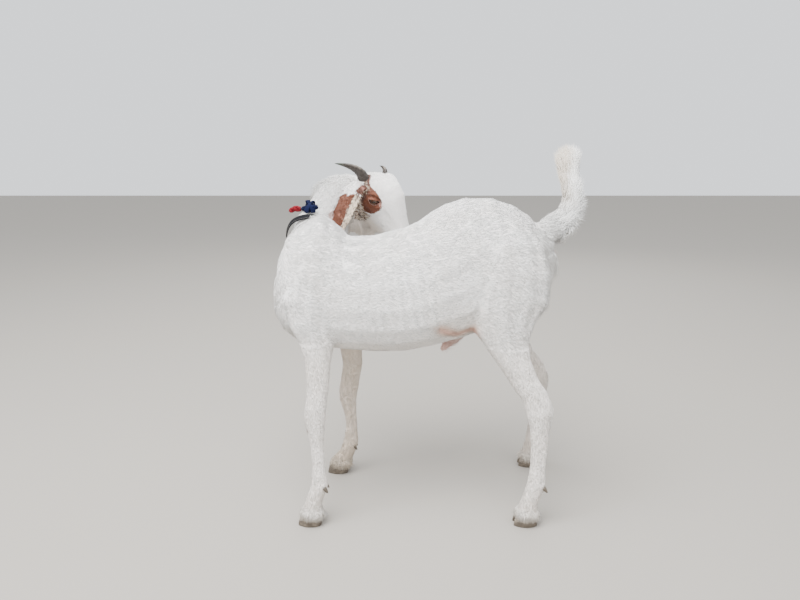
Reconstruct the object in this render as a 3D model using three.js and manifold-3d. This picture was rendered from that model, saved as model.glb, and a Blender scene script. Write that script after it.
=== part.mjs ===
// A young short-coated goat that stands still, with its head turned back over its right flank.
// Millimetres. +Z is up, the goat faces -X, and its left side is towards -Y.
// Soft parts are lofts through named stations. They are joined into one body, and thin cuts part it into nodes.
import * as THREE from 'three';
import { mergeVertices } from 'three/addons/utils/BufferGeometryUtils.js';
import Module from 'manifold-3d';

const wasm = await Module();
wasm.setup();

// Driving sizes.
const GAP = 0.35; // clear space where two nodes meet
const CLAW_TOP = 26; // height of the cut between a foot and its claws
const HEAD_SCALE = 0.98;
const EYE_RADIUS = 13.5;
const HORN_HALF = 15.5;
const STUB_HALF = 10;
const STRAP_WIDTH = 16;
const STRAP_THICK = 3.2;
const STRAP_SLACK = 3; // the collar hangs a little loose

// Colours.
const WHITE_COAT = 0xe9e4da;
const PINK_SKIN = 0xd9a394;
const CHESTNUT = 0x8a4b26;
const HORN_GREY = 0x4a443e;
const CLAW_GREY = 0x6f675c;
const EYE_DARK = 0x2a1a10;
const STRAP_BLACK = 0x17181c;
const CLOTH_BLUE = 0x1d2a6b;
const RIBBON_RED = 0xa3222a;

const V = (x, y, z) => new THREE.Vector3(x, y, z);
const power = (x, e) => Math.sign(x) * Math.abs(x) ** e;

// Solids: a closed buffer geometry becomes a manifold body, and back.
function solid(geometry) {
  const bare = geometry.clone();
  bare.deleteAttribute('normal');
  bare.deleteAttribute('uv');
  const merged = mergeVertices(bare, 1e-3);
  return new wasm.Manifold(new wasm.Mesh({
    numProp: 3,
    vertProperties: new Float32Array(merged.attributes.position.array),
    triVerts: new Uint32Array(merged.index.array),
  }));
}

function geometryOf(body) {
  const mesh = body.getMesh();
  const geometry = new THREE.BufferGeometry();
  const points = new Float32Array(mesh.numVert * 3);
  for (let i = 0; i < mesh.numVert; i++) {
    for (let k = 0; k < 3; k++) points[i * 3 + k] = mesh.vertProperties[i * mesh.numProp + k];
  }
  geometry.setAttribute('position', new THREE.BufferAttribute(points, 3));
  geometry.setIndex(new THREE.BufferAttribute(new Uint32Array(mesh.triVerts), 1));
  geometry.computeVertexNormals();
  return geometry;
}

const join = (...bodies) => bodies.reduce((a, b) => a.add(b));

// Closed surface through rings of equal length, with a fan over each end.
function skinRings(rings) {
  const n = rings[0].length;
  const points = rings.flat().flatMap((p) => [p.x, p.y, p.z]);
  const index = [];
  for (let r = 0; r + 1 < rings.length; r++) {
    for (let i = 0; i < n; i++) {
      const a = r * n + i;
      const b = r * n + (i + 1) % n;
      index.push(a, b, a + n, b, b + n, a + n);
    }
  }
  const ends = [[0, 1], [rings.length - 1, 0]];
  for (const [r, first] of ends) {
    const middle = rings[r].reduce((s, p) => s.clone().add(p), V(0, 0, 0)).divideScalar(n);
    const m = points.length / 3;
    points.push(middle.x, middle.y, middle.z);
    for (let i = 0; i < n; i++) {
      const a = r * n + i;
      const b = r * n + (i + 1) % n;
      if (first) index.push(m, b, a);
      else index.push(m, a, b);
    }
  }
  const geometry = new THREE.BufferGeometry();
  geometry.setAttribute('position', new THREE.Float32BufferAttribute(points, 3));
  geometry.setIndex(index);
  return geometry;
}

// A loft: each station is [centre, [half width, upper half, lower half], up direction].
// The shape numbers are the section's powers: 1 is an ellipse, below 1 is boxier.
function loft(stations, options = {}) {
  const { steps = 3, around = 20, up = [0, 0, 1], shape = [0.92, 0.92], caps = [0, 0] } = options;
  const { from = 0, to = 1, grow = 0 } = options;
  const path = new THREE.CatmullRomCurve3(stations.map((s) => V(...s[0])), false, 'catmullrom', 0.5);
  const size = new THREE.CatmullRomCurve3(stations.map((s) => V(...s[1])), false, 'catmullrom', 0.5);
  const rise = new THREE.CatmullRomCurve3(stations.map((s) => V(...(s[2] || up))), false, 'catmullrom', 0.5);
  const count = Math.max(2, Math.round((stations.length - 1) * steps * (to - from)));
  const ring = (t, scale, push) => {
    const tangent = path.getTangent(t).normalize();
    const centre = path.getPoint(t).addScaledVector(tangent, push);
    const upward = rise.getPoint(t);
    upward.addScaledVector(tangent, -upward.dot(tangent)).normalize();
    const side = tangent.clone().cross(upward);
    const s = size.getPoint(t);
    return Array.from({ length: around }, (_, i) => {
      const a = (i / around) * 2 * Math.PI;
      const high = Math.sin(a) > 0 ? s.y : s.z;
      const e = Math.sin(a) > 0 ? shape[0] : shape[1];
      return centre.clone()
        .addScaledVector(side, -(s.x + grow) * scale * power(Math.cos(a), e))
        .addScaledVector(upward, (high + grow) * scale * power(Math.sin(a), e));
    });
  };
  const rings = [];
  const bend = [25, 50, 72];
  if (caps[0]) {
    for (const d of [...bend].reverse()) {
      const a = THREE.MathUtils.degToRad(d);
      rings.push(ring(from, Math.cos(a), -caps[0] * Math.sin(a)));
    }
  }
  for (let i = 0; i <= count; i++) rings.push(ring(from + ((to - from) * i) / count, 1, 0));
  if (caps[1]) {
    for (const d of bend) {
      const a = THREE.MathUtils.degToRad(d);
      rings.push(ring(to, Math.cos(a), caps[1] * Math.sin(a)));
    }
  }
  return skinRings(rings);
}

function ellipsoid(centre, radii, turn = [0, 0, 0], detail = [14, 10]) {
  const geometry = new THREE.SphereGeometry(1, detail[0], detail[1]);
  geometry.scale(...radii);
  geometry.applyMatrix4(new THREE.Matrix4().makeRotationFromEuler(new THREE.Euler(...turn)));
  geometry.translate(...centre);
  return solid(geometry);
}

// A box whose low -Z face carries the cut: origin on the face, `out` points into the kept side.
function cell(origin, out, width, depth, height, offset = 0) {
  const geometry = new THREE.BoxGeometry(width, depth, height);
  geometry.translate(0, 0, height / 2 + offset);
  const turn = new THREE.Quaternion().setFromUnitVectors(V(0, 0, 1), V(...out).normalize());
  geometry.applyQuaternion(turn);
  geometry.translate(...origin);
  return solid(geometry);
}

function block(low, high, grow = 0) {
  const geometry = new THREE.BoxGeometry(
    high[0] - low[0] + 2 * grow,
    high[1] - low[1] + 2 * grow,
    high[2] - low[2] + 2 * grow,
  );
  geometry.translate((low[0] + high[0]) / 2, (low[1] + high[1]) / 2, (low[2] + high[2]) / 2);
  return solid(geometry);
}

// Trunk: x along the back, top and bottom heights, half width, and the height of the widest level.
const TRUNK = [
  [-285, 572, 470, 38, 520],
  [-275, 612, 447, 62, 520],
  [-255, 658, 427, 84, 521],
  [-230, 690, 411, 97, 521],
  [-204, 706, 402, 103, 520],
  [-183, 712, 400, 106, 519],
  [-165, 690, 399, 109, 518],
  [-138, 663, 396, 110, 514],
  [-110, 661, 394, 111, 510],
  [-60, 662, 390, 114, 508],
  [0, 674, 391, 118, 510],
  [50, 685, 400, 119, 520],
  [100, 705, 413, 117, 536],
  [145, 732, 428, 113, 556],
  [180, 752, 442, 108, 575],
  [208, 760, 455, 104, 590],
  [238, 751, 470, 100, 600],
  [270, 732, 486, 93, 605],
  [300, 711, 508, 79, 608],
  [326, 692, 540, 58, 612],
  [343, 674, 574, 36, 618],
];
const TRUNK_LOFT = { steps: 1, around: 18, shape: [1.05, 0.9], caps: [8, 10] };
const trunkLoft = loft(
  TRUNK.map(([x, top, low, wide, mid]) => [[x, 0, mid], [wide, top - mid, mid - low]]),
  TRUNK_LOFT,
);

// Legs: stations run down the limb: centre, [lateral half, front half, rear half].
function foreleg(side, p) {
  const y = (v) => side * v;
  return [
    [[-152 + p.top, y(48), 628], [26, 40, 40]],
    [[-178 + p.top, y(64), 580], [38, 66, 62]],
    [[-190 + p.top, y(72), 520], [40, 74, 70]],
    [[-190 + p.top, y(78), 468], [34, 58, 56]],
    [[p.x[0], y(p.y[0]), 428], [28, 42, 40]],
    [[p.x[1], y(p.y[1]), 383], [24, 30, 30]],
    [[p.x[2], y(p.y[2]), p.z[2]], [21, 26, 26]],
    [[p.x[3], y(p.y[3]), p.z[3] + 14], [20, 24, 22.5]],
    [[p.x[4], y(p.y[4]), p.z[3] - 16], [19, 22.5, 21]],
    [[p.x[5], y(p.y[5]), p.z[5]], [15, 16.5, 16]],
    [[p.x[6], y(p.y[6]), p.z[6]], [14.5, 15.5, 16]],
    [[p.x[7], y(p.y[7]), p.z[7]], [18.5, 18, 19]],
    [[p.x[8], y(p.y[8]), 58], [20, 18.5, 20]],
    [[p.x[9], y(p.y[9]), 30], [22.5, 24, 24]],
    [[p.x[10], y(p.y[10]), 10], [22.5, 27, 25]],
  ];
}

function hindleg(side, p) {
  const y = (v) => side * v;
  return [
    [[222 + p.top, y(40), 688], [30, 50, 60]],
    [[228 + p.top, y(54), 640], [46, 78, 92]],
    [[230 + p.top, y(62), 580], [50, 88, 106]],
    [[230 + p.top, y(68), 520], [48, 86, 102]],
    [[232 + p.top, y(76), 468], [40, 70, 76]],
    [[p.x[0], y(p.y[0]), 420], [31, 49, 46]],
    [[p.x[1], y(p.y[1]), 380], [26, 37, 34]],
    [[p.x[2], y(p.y[2]), 338], [22, 30, 31]],
    [[p.x[3], y(p.y[3]), p.z[3]], [20, 26, 33]],
    [[p.x[4], y(p.y[4]), p.z[4]], [20, 27, 29]],
    [[p.x[5], y(p.y[5]), p.z[5]], [18, 23, 24]],
    [[p.x[6], y(p.y[6]), 196], [15, 20, 20]],
    [[p.x[7], y(p.y[7]), 145], [14.5, 18, 18]],
    [[p.x[8], y(p.y[8]), 98], [18.5, 20, 20]],
    [[p.x[9], y(p.y[9]), 60], [20, 19, 20]],
    [[p.x[10], y(p.y[10]), 30], [22.5, 25, 24]],
    [[p.x[11], y(p.y[11]), 10], [22.5, 27, 25]],
  ];
}

const LEGS = {
  fore_left: {
    stations: foreleg(-1, {
      top: 0,
      x: [-184, -185, -186, -190, -191, -190, -187.5, -189, -200, -205, -206],
      y: [84, 90, 96, 102, 104, 108, 113, 117, 119, 120, 120],
      z: [0, 0, 326, 262, 0, 196, 141, 94],
    }),
    foot: [-206, -120, -1],
    dew: [-170, 90],
  },
  fore_right: {
    stations: foreleg(1, {
      top: 26,
      x: [-136, -126, -121, -131, -134, -130, -128.5, -131, -143, -158, -163],
      y: [84, 92, 100, 108, 110, 114, 118, 121, 123, 124, 124],
      z: [0, 0, 318, 232, 0, 172, 138, 100],
    }),
    foot: [-163, 124, 1],
    dew: [-119, 74],
  },
  hind_left: {
    stations: hindleg(-1, {
      top: 0,
      x: [248, 263, 283, 302, 312, 317, 318, 316, 312, 301, 296, 295],
      y: [84, 90, 97, 103, 107, 111, 115, 119, 121, 122, 122, 122],
      z: [0, 0, 0, 306, 272, 238],
    }),
    foot: [295, -122, -1],
    dew: [333, 92],
  },
  hind_right: {
    stations: hindleg(1, {
      top: 14,
      x: [272, 290, 312, 338, 353, 361, 364, 364, 364, 359, 357, 356],
      y: [84, 92, 101, 110, 116, 123, 133, 144, 153, 158, 160, 160],
      z: [0, 0, 0, 304, 272, 238],
    }),
    foot: [356, 160, 1],
    dew: [384, 92],
  },
};

// Neck: from inside the shoulders, forward, then round towards the right flank.
const NECK = [
  [[-150, 0, 580], [52, 80, 110], [0, 0, 1]],
  [[-186, 18, 610], [54, 80, 112], [-0.2, 0, 1]],
  [[-208, 54, 638], [55, 70, 108], [-0.3, 0.1, 1]],
  [[-199, 100, 664], [39, 60, 98], [-0.2, 0.1, 1]],
  [[-179, 148, 695], [39, 63, 93], [-0.1, 0.05, 1]],
  [[-161, 184, 720], [42, 63, 96], [-0.1, 0.05, 1]],
  [[-136, 207, 736], [42, 55, 119], [0, -0.05, 1]],
  [[-96, 210, 742], [36, 40, 127], [0.1, -0.2, 0.9]],
  [[-62, 211, 736], [32, 26, 128], [0.1, -0.2, 0.9]],
  [[-30, 206, 722], [26, 12, 118], [0.1, -0.2, 0.9]],
];
const NECK_SHAPE = { around: 16, shape: [1.15, 0.95] };
const neckLoft = (options) => loft(NECK, { ...NECK_SHAPE, steps: 1.6, ...options });

// Head, in its own frame: x forward along the face, z up out of the forehead, y to the goat's left.
const FACE = V(0.58, -0.17, -0.78).normalize();
const BROWS = V(0.58, -0.55, 0.58);
BROWS.addScaledVector(FACE, -BROWS.dot(FACE)).normalize();
const headFrame = new THREE.Matrix4()
  .makeBasis(FACE, BROWS.clone().cross(FACE), BROWS)
  .scale(V(HEAD_SCALE, HEAD_SCALE, HEAD_SCALE))
  .setPosition(-47, 186, 728);
const inWorld = (x, y, z) => V(x, y, z).applyMatrix4(headFrame);

// x, top, bottom, half width, widest level.
const HEAD = [
  [-76, 2, -44, 19, -10],
  [-64, 17, -66, 32, -8],
  [-46, 37, -88, 43, -2],
  [-22, 57, -98, 47, 0],
  [0, 63, -98, 46, 0],
  [22, 57, -95, 41, -2],
  [44, 43, -91, 35.5, -4],
  [66, 29, -84, 30, -6],
  [86, 17, -64, 27.5, -9],
  [102, 9, -51, 26, -12],
  [114, 2, -42, 23.5, -14],
  [122, -6, -38, 19, -17],
];
const HEAD_LOFT = { steps: 1, around: 18, shape: [0.84, 1.0], caps: [6, 9] };
const headLoft = loft(
  HEAD.map(([x, top, low, wide, mid]) => [[x, 0, mid], [wide, top - mid, mid - low]]),
  HEAD_LOFT,
);
function brow(side) {
  return join(
    ellipsoid([-8, side * 35, 21], [27, 17, 17], [0, 0, 0], [10, 6]),
    ellipsoid([4, side * 35, -14], [24, 12, 12], [0, 0, 0], [8, 6]),
    ellipsoid([-18, side * 26, 35], [30, 19, 18], [0, 0, 0], [10, 6]),
  );
}
const EYE = { x: -4, y: 37, z: 8 };
const eyeBall = (side, grow) => ellipsoid(
  [EYE.x, side * EYE.y, EYE.z],
  Array(3).fill(EYE_RADIUS + grow),
  [0, 0, 0],
  [10, 7],
);

// Ears: broad hanging leaves. Stations are in the body's frame: centre, [half width, thickness].
const EAR_THICK = 3.4;
const ear = (stations) => loft(
  stations.map(([c, wide, face]) => [c, [wide, EAR_THICK, EAR_THICK], face]),
  { steps: 1.7, around: 10, shape: [0.8, 0.8], caps: [6, 8] },
);
const EAR_RIGHT = [
  [[-84, 177, 768], 15, [0.3, -0.7, 0.6]],
  [[-100, 150, 764], 20, [0.1, -0.9, 0.5]],
  [[-117, 120, 747], 27, [-0.2, -1, 0.3]],
  [[-129, 94, 722], 30, [-0.3, -1, 0.2]],
  [[-141, 78, 694], 28, [-0.45, -1, 0.1]],
  [[-149, 72, 669], 24, [-0.6, -1, 0]],
  [[-153, 71, 648], 15, [-0.6, -1, 0]],
];
const EAR_LEFT = [
  [[-50, 220, 784], 15, [0.4, 0.6, 0.8]],
  [[-46, 238, 780], 19, [0.4, 0.8, 0.5]],
  [[-43, 254, 764], 25, [0.3, 1, 0.3]],
  [[-40, 263, 738], 28, [0.2, 1, 0.1]],
  [[-40, 266, 706], 28, [0.1, 1, 0]],
  [[-40, 264, 674], 24, [0.1, 1, 0]],
  [[-40, 260, 648], 15, [0.1, 1, 0]],
];

// Horns sweep back and out from the skull; the left one is short. Four control points each,
// in the head's frame, from the root inside the skull to the tip.
const HORN_RIGHT = [[-58, -28, 8], [-75, -31, 28], [-98, -50, 32], [-132, -74, 3]];
const HORN_LEFT = [[-42, 25, 26], [-48, 31, 42], [-60, 35, 40], [-72, 37, 28]];
const horn = (controls, half) => {
  const path = new THREE.CubicBezierCurve3(...controls.map((c) => new THREE.Vector3(...c)));
  const keel = [0.4, -0.35 * Math.sign(controls[0][1]), 0.8];
  return loft(
    [0, 0.15, 0.3, 0.45, 0.6, 0.75, 0.9, 1].map((t) => {
      const slim = half * (1 - 0.2 * t - 0.74 * t * t);
      return [path.getPoint(t).toArray(), [0.62 * slim, slim, slim], keel];
    }),
    { steps: 1, around: 10, caps: [6, 1.5] },
  );
};

const tailLoft = loft([
  [[312, 0, 662], [24, 24, 24]],
  [[340, 0, 672], [27, 30, 27]],
  [[366, 0, 692], [28, 31, 31]],
  [[382, 0, 722], [27, 27, 30]],
  [[385, 0, 755], [25, 26, 26]],
  [[380, 0, 787], [24, 25, 25]],
  [[377, 0, 817], [26, 29, 29]],
  [[375.5, 0, 838], [26, 32, 32]],
], { steps: 1.4, around: 12, up: [-1, 0, 0.2], shape: [0.9, 0.9], caps: [0, 19] });

const sheathLoft = loft([
  [[176, 0, 448], [13, 16, 10]],
  [[150, 0, 430], [15, 20, 11]],
  [[128, 0, 412], [13, 22, 11]],
  [[110, 0, 397], [10, 15, 11]],
  [[100, 0, 388], [8, 8, 8]],
], { steps: 1.5, around: 10, up: [0, 0, 1], caps: [4, 6] });

// A claw: a ring per level, pointed at the toe, flat on its inner side.
function claw([x, y], outward, yaw) {
  const LEVELS = [
    [0, 31, 23, 19.5],
    [12, 29, 24, 20],
    [CLAW_TOP, 23.5, 23, 19],
  ];
  const rings = LEVELS.map(([z, toe, heel, wide]) => Array.from({ length: 10 }, (_, i) => {
    const a = (i / 10) * 2 * Math.PI;
    const c = Math.cos(a);
    const taper = c < 0 ? 1 - 0.42 * c * c : 1 - 0.12 * c * c;
    const across = Math.sin(a) * 0.5 * wide * taper + 0.5 * wide * taper + 1.6;
    const p = V((c < 0 ? toe : heel) * power(c, 0.92), outward * across, z);
    return p.applyAxisAngle(V(0, 0, 1), yaw).add(V(x, y, 0));
  }));
  if (outward < 0) rings.forEach((r) => r.reverse());
  return solid(skinRings(rings));
}

// Assembly of the flesh.
const parts = new Map();
const put = (name, body, color, roughness = 0.85) => parts.set(name, { body, color, roughness });

const headSolid = () => {
  const local = join(solid(headLoft), brow(-1), brow(1));
  return solid(geometryOf(local).applyMatrix4(headFrame));
};
const place = (body) => solid(geometryOf(body).applyMatrix4(headFrame));

const LEG_LOFT = { steps: 1, around: 12, up: [-1, 0, 0], shape: [0.95, 0.95] };
const legSolids = Object.fromEntries(Object.entries(LEGS).map(([name, leg]) => [
  name,
  solid(loft(leg.stations, LEG_LOFT)),
]));

const body = join(
  solid(trunkLoft),
  solid(neckLoft()),
  headSolid(),
  solid(tailLoft),
  solid(sheathLoft),
  ...Object.values(legSolids),
).subtract(block([-400, -300, -60], [500, 300, CLAW_TOP + GAP]));

// Cuts through the neck: one at its base, one behind the poll.
const NECK_CUT = { at: [-196, 45, 650], out: [-0.35, 0.6, 0.72] };
const HEAD_CUT = { at: [-114, 204, 744], out: [0.97, 0.1, -0.05] };
const neckCell = (grow) => cell(NECK_CUT.at, NECK_CUT.out, 400, 400, 220, -grow);
const headCell = (grow) => cell(HEAD_CUT.at, HEAD_CUT.out, 330, 330, 300, -grow)
  .intersect(block([-190, 112, 560], [120, 330, 900], grow));
const tailCell = (grow) => block([322, -60, 640], [460, 60, 900], grow);
const sheathCell = (grow) => block([80, -40, 340], [123, 40, 460], grow);
const LEG_CELLS = {
  fore_left: [[-300, -220, 0], [-95, -44, 432]],
  fore_right: [[-280, 44, 0], [-60, 220, 432]],
  hind_left: [[150, -260, 0], [460, -20, 424]],
  hind_right: [[150, 20, 0], [460, 260, 424]],
};
const legCell = (name, grow) => block(...LEG_CELLS[name], grow);

let head = body.intersect(headCell(0));
const neck = body.intersect(neckCell(0)).subtract(headCell(GAP));
let trunk = body.subtract(neckCell(GAP)).subtract(headCell(GAP))
  .subtract(tailCell(GAP)).subtract(sheathCell(GAP));

// Ears leave the head at their roots: each root is cut clear of the head.
const earRight = solid(ear(EAR_RIGHT));
const earLeft = solid(ear(EAR_LEFT));
const headWide = place(join(
  solid(loft(HEAD.map(([x, top, low, wide, mid]) => [
    [x, 0, mid],
    [wide + GAP, top - mid + GAP, mid - low + GAP],
  ]), HEAD_LOFT)),
  brow(-1),
  brow(1),
));

const DEW_RADII = [5.5, 5, 8];
const dewClaw = ([x, z], foot, way, grow) => ellipsoid(
  [x, foot[1] + way * 11, z],
  DEW_RADII.map((r) => r + grow),
  [0, -0.5, 0],
  [6, 4],
);

for (const [name, leg] of Object.entries(LEGS)) {
  let limb = body.intersect(legCell(name, 0));
  trunk = trunk.subtract(legCell(name, GAP));
  for (const way of [-1, 1]) {
    const place = way * leg.foot[2] > 0 ? 'outer' : 'inner';
    limb = limb.subtract(dewClaw(leg.dew, leg.foot, way, GAP));
    put(`dewclaw_${name}_${place}`, dewClaw(leg.dew, leg.foot, way, 0), CLAW_GREY, 0.6);
    put(`claw_${name}_${place}`, claw(leg.foot, way, 0), CLAW_GREY, 0.55);
  }
  put(`leg_${name}`, limb, WHITE_COAT);
}

const hornRight = place(solid(horn(HORN_RIGHT, HORN_HALF)));
const hornLeft = place(solid(horn(HORN_LEFT, STUB_HALF)));
for (const [name, side] of [['eye_right', -1], ['eye_left', 1]]) {
  head = head.subtract(place(eyeBall(side, GAP)));
  put(name, place(eyeBall(side, 0)), EYE_DARK, 0.08);
}
put('horn_right', hornRight.subtract(headWide), HORN_GREY, 0.5);
put('horn_left', hornLeft.subtract(headWide), HORN_GREY, 0.5);
const neckWide = solid(neckLoft({ grow: GAP }));
let trunkWide = solid(loft(
  TRUNK.map(([x, top, low, wide, mid]) => [
    [x, 0, mid],
    [wide + GAP, top - mid + GAP, mid - low + GAP],
  ]),
  TRUNK_LOFT,
));
for (const leg of [LEGS.fore_left, LEGS.fore_right]) {
  trunkWide = trunkWide.add(solid(loft(leg.stations, { ...LEG_LOFT, grow: GAP })));
}
const hornWide = place(solid(horn(HORN_RIGHT, HORN_HALF + 2 * GAP)));
const earCut = headWide.add(neckWide).add(trunkWide).add(hornWide);
put('ear_right', earRight.subtract(earCut), CHESTNUT);
put('ear_left', earLeft.subtract(headWide), CHESTNUT);
put('head', head, WHITE_COAT);
put('tail', body.intersect(tailCell(0)), WHITE_COAT);
put('sheath', body.intersect(sheathCell(0)), PINK_SKIN);

// Collar: a strap round the neck, a cloth knot on the crest and a ribbon beside it.
const STRAP = { from: 0.233, to: 0.233 + STRAP_WIDTH / 430 };
const strapAt = { from: STRAP.from, to: STRAP.to };
const strap = solid(neckLoft({ ...strapAt, grow: STRAP_THICK + STRAP_SLACK }))
  .subtract(solid(neckLoft({ from: STRAP.from - 0.02, to: STRAP.to + 0.02, grow: STRAP_SLACK })));
// Below, the strap tucks under the loose skin where the neck joins the breast.
const tuck = block([-194, 60, 500], [-120, 160, 590]);
const strapClear = strap.subtract(trunkWide).subtract(neckWide).subtract(tuck);
put('collar_strap', strapClear, STRAP_BLACK, 0.6);
const strapWide = solid(neckLoft({
  from: STRAP.from - 0.002,
  to: STRAP.to + 0.002,
  grow: STRAP_THICK + STRAP_SLACK + GAP,
}));
const KNOT = [-211, 60, 716];
const knotLobe = (dx, dy, dz, r) => ellipsoid(
  [KNOT[0] + dx, KNOT[1] + dy, KNOT[2] + dz],
  [r, 0.9 * r, 0.8 * r],
  [0, 0, 0],
  [8, 5],
);
const knot = join(
  knotLobe(0, 0, 0, 14),
  knotLobe(-13, 3, -2, 11),
  knotLobe(12, -2, 2, 10.5),
  knotLobe(3, 8, 7, 9),
);
put('collar_knot', knot.subtract(strapWide).subtract(neckWide), CLOTH_BLUE, 0.9);
const knotGap = join(
  knotLobe(0, 0, 0, 14 + GAP),
  knotLobe(-13, 3, -2, 11 + GAP),
);
const RIBBON = [-242, 62, 714];
const ribbon = join(
  ellipsoid(RIBBON, [13, 5, 7], [0.3, 0.2, 0.2], [8, 5]),
  ellipsoid([RIBBON[0] - 12, RIBBON[1] + 2, RIBBON[2] - 3], [9, 4, 6], [0, -0.4, 0], [8, 5]),
);
put('collar_ribbon', ribbon.subtract(knotGap).subtract(strapWide), RIBBON_RED, 0.9);
put('neck', neck, WHITE_COAT);
put('trunk', trunk, WHITE_COAT);

// The frame's origin is the middle of the bounding box, on the floor.
const reach = new THREE.Box3();
for (const part of parts.values()) {
  part.geometry = geometryOf(part.body);
  reach.union(new THREE.Box3().setFromBufferAttribute(part.geometry.attributes.position));
}
const middle = reach.getCenter(V(0, 0, 0));

const group = new THREE.Group();
for (const [name, { geometry, color, roughness }] of parts) {
  geometry.translate(-middle.x, -middle.y, -reach.min.z);
  const mesh = new THREE.Mesh(
    geometry,
    new THREE.MeshStandardMaterial({ color, roughness, metalness: 0 }),
  );
  mesh.name = name;
  group.add(mesh);
}

export default group;
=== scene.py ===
"""Dresses the standing goat: one skin, lids, eyes, horns, claws, collar and coat."""

import math

import bmesh
import bpy
import numpy as np
from bpy.props import FloatProperty, FloatVectorProperty, IntProperty, PointerProperty
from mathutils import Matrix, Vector
from mathutils.bvhtree import BVHTree


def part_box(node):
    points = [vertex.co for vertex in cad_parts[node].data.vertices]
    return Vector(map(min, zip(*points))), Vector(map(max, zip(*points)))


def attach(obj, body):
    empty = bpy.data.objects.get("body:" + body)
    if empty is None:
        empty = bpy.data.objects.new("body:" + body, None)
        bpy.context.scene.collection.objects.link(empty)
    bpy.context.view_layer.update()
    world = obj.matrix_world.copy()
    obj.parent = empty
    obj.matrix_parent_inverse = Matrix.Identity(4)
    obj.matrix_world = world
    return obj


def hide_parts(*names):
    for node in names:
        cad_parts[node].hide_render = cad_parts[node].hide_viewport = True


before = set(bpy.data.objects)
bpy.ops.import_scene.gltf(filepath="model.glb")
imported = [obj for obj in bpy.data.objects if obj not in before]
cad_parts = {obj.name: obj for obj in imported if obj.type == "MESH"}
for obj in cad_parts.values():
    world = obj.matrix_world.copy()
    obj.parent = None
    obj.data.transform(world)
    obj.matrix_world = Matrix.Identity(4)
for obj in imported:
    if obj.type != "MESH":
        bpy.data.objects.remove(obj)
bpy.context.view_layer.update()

bl_info = {
    "name": "Standing goat",
    "version": (1, 0, 0),
    "blender": (4, 5, 0),
    "location": "3D View > Sidebar > Goat",
    "description": "Dresses the solids of a young goat with skin, coat, eyes, horns, claws and collar",
    "category": "Object",
}

MM = 0.001
ROOT = "root"

FLESH = ["trunk", "neck", "head", "tail", "sheath", "ear_right", "ear_left"]
FLESH += [f"leg_{end}_{side}" for end in ("fore", "hind") for side in ("left", "right")]
FEET = {
    "fore_left": ((-206.0, -120.0), (-170.0, 90.0)),
    "fore_right": ((-163.0, 124.0), (-119.0, 74.0)),
    "hind_left": ((295.0, -122.0), (333.0, 92.0)),
    "hind_right": ((356.0, 160.0), (384.0, 92.0)),
}

# Places below are in millimetres in the stance: x towards the tail, y to the goat's right, z up from
# the floor. One claw's heel ties the stance to the frame.
HEEL_OF_CLAW = np.array([-182.0, -121.6, 26.0])
STANCE = np.array(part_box("claw_fore_left_outer")[1]) - HEEL_OF_CLAW * MM


def spot(x, y, z):
    """A place in the stance as a point of the frame, in metres."""
    return STANCE + np.array([x, y, z]) * MM


def unit(v):
    """The vector, or each row of an array of them, at length one."""
    v = np.asarray(v, float)
    return v / np.maximum(np.linalg.norm(v, axis=-1, keepdims=True), 1e-12)


def smooth_step(value, low, high):
    """0 below low, 1 above high, and a soft ramp between them."""
    t = np.clip((value - low) / (high - low), 0.0, 1.0)
    return t * t * (3.0 - 2.0 * t)


def bell(value, width):
    """1 at zero, and falling off over the width."""
    return np.exp(-((value / width) ** 2))


# The head's own frame: x along the face, y to the goat's left, z out of the forehead.
FACE = unit([0.58, -0.17, -0.78])
BROWS = np.array([0.58, -0.55, 0.58])
BROWS = unit(BROWS - FACE * BROWS.dot(FACE))
HEAD_AXES = np.array([FACE, np.cross(BROWS, FACE), BROWS])
HEAD_AT = spot(-47, 186, 728)
HEAD_SCALE = 0.98


def to_head(points):
    """Points of the frame in the head's millimetres."""
    return (points - HEAD_AT) @ HEAD_AXES.T / (HEAD_SCALE * MM)


def from_head(points):
    """Points in the head's millimetres as points of the frame."""
    return np.asarray(points, float) @ HEAD_AXES * (HEAD_SCALE * MM) + HEAD_AT


def head_way(vector):
    """A direction in the head's frame as one of the main frame."""
    return unit(np.asarray(vector, float) @ HEAD_AXES)


# ---------------------------------------------------------------- settings


def length_of(name, text, default):
    """A length in metres that the panel shows."""
    return FloatProperty(name=name, description=text, default=default, unit="LENGTH")


def colour_of(name, text, default):
    """A colour that the panel shows."""
    return FloatVectorProperty(
        name=name, description=text, default=default, size=4, min=0.0, max=1.0, subtype="COLOR"
    )


class GoatSizes(bpy.types.PropertyGroup):
    """Sizes of the dressed goat."""

    voxel: length_of("Voxel", "Grain of the mesh that joins the flesh", 0.0044)
    swell: length_of("Swell", "How far the flesh grows to close its thin cuts", 0.0008)
    coat_depth: length_of("Coat depth", "How far the skin lies inside the solids", 0.0022)
    tail_core: FloatProperty(
        name="Tail core", description="Width of the bare tail as a part of its coat", default=0.45
    )
    strap_width: length_of("Strap width", "Width of the collar's strap", 0.016)
    strap_thick: length_of("Strap thickness", "Thickness of the collar's strap", 0.003)
    tufts: IntProperty(name="Tufts", description="Tufts on each square decimetre", default=1900)


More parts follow.
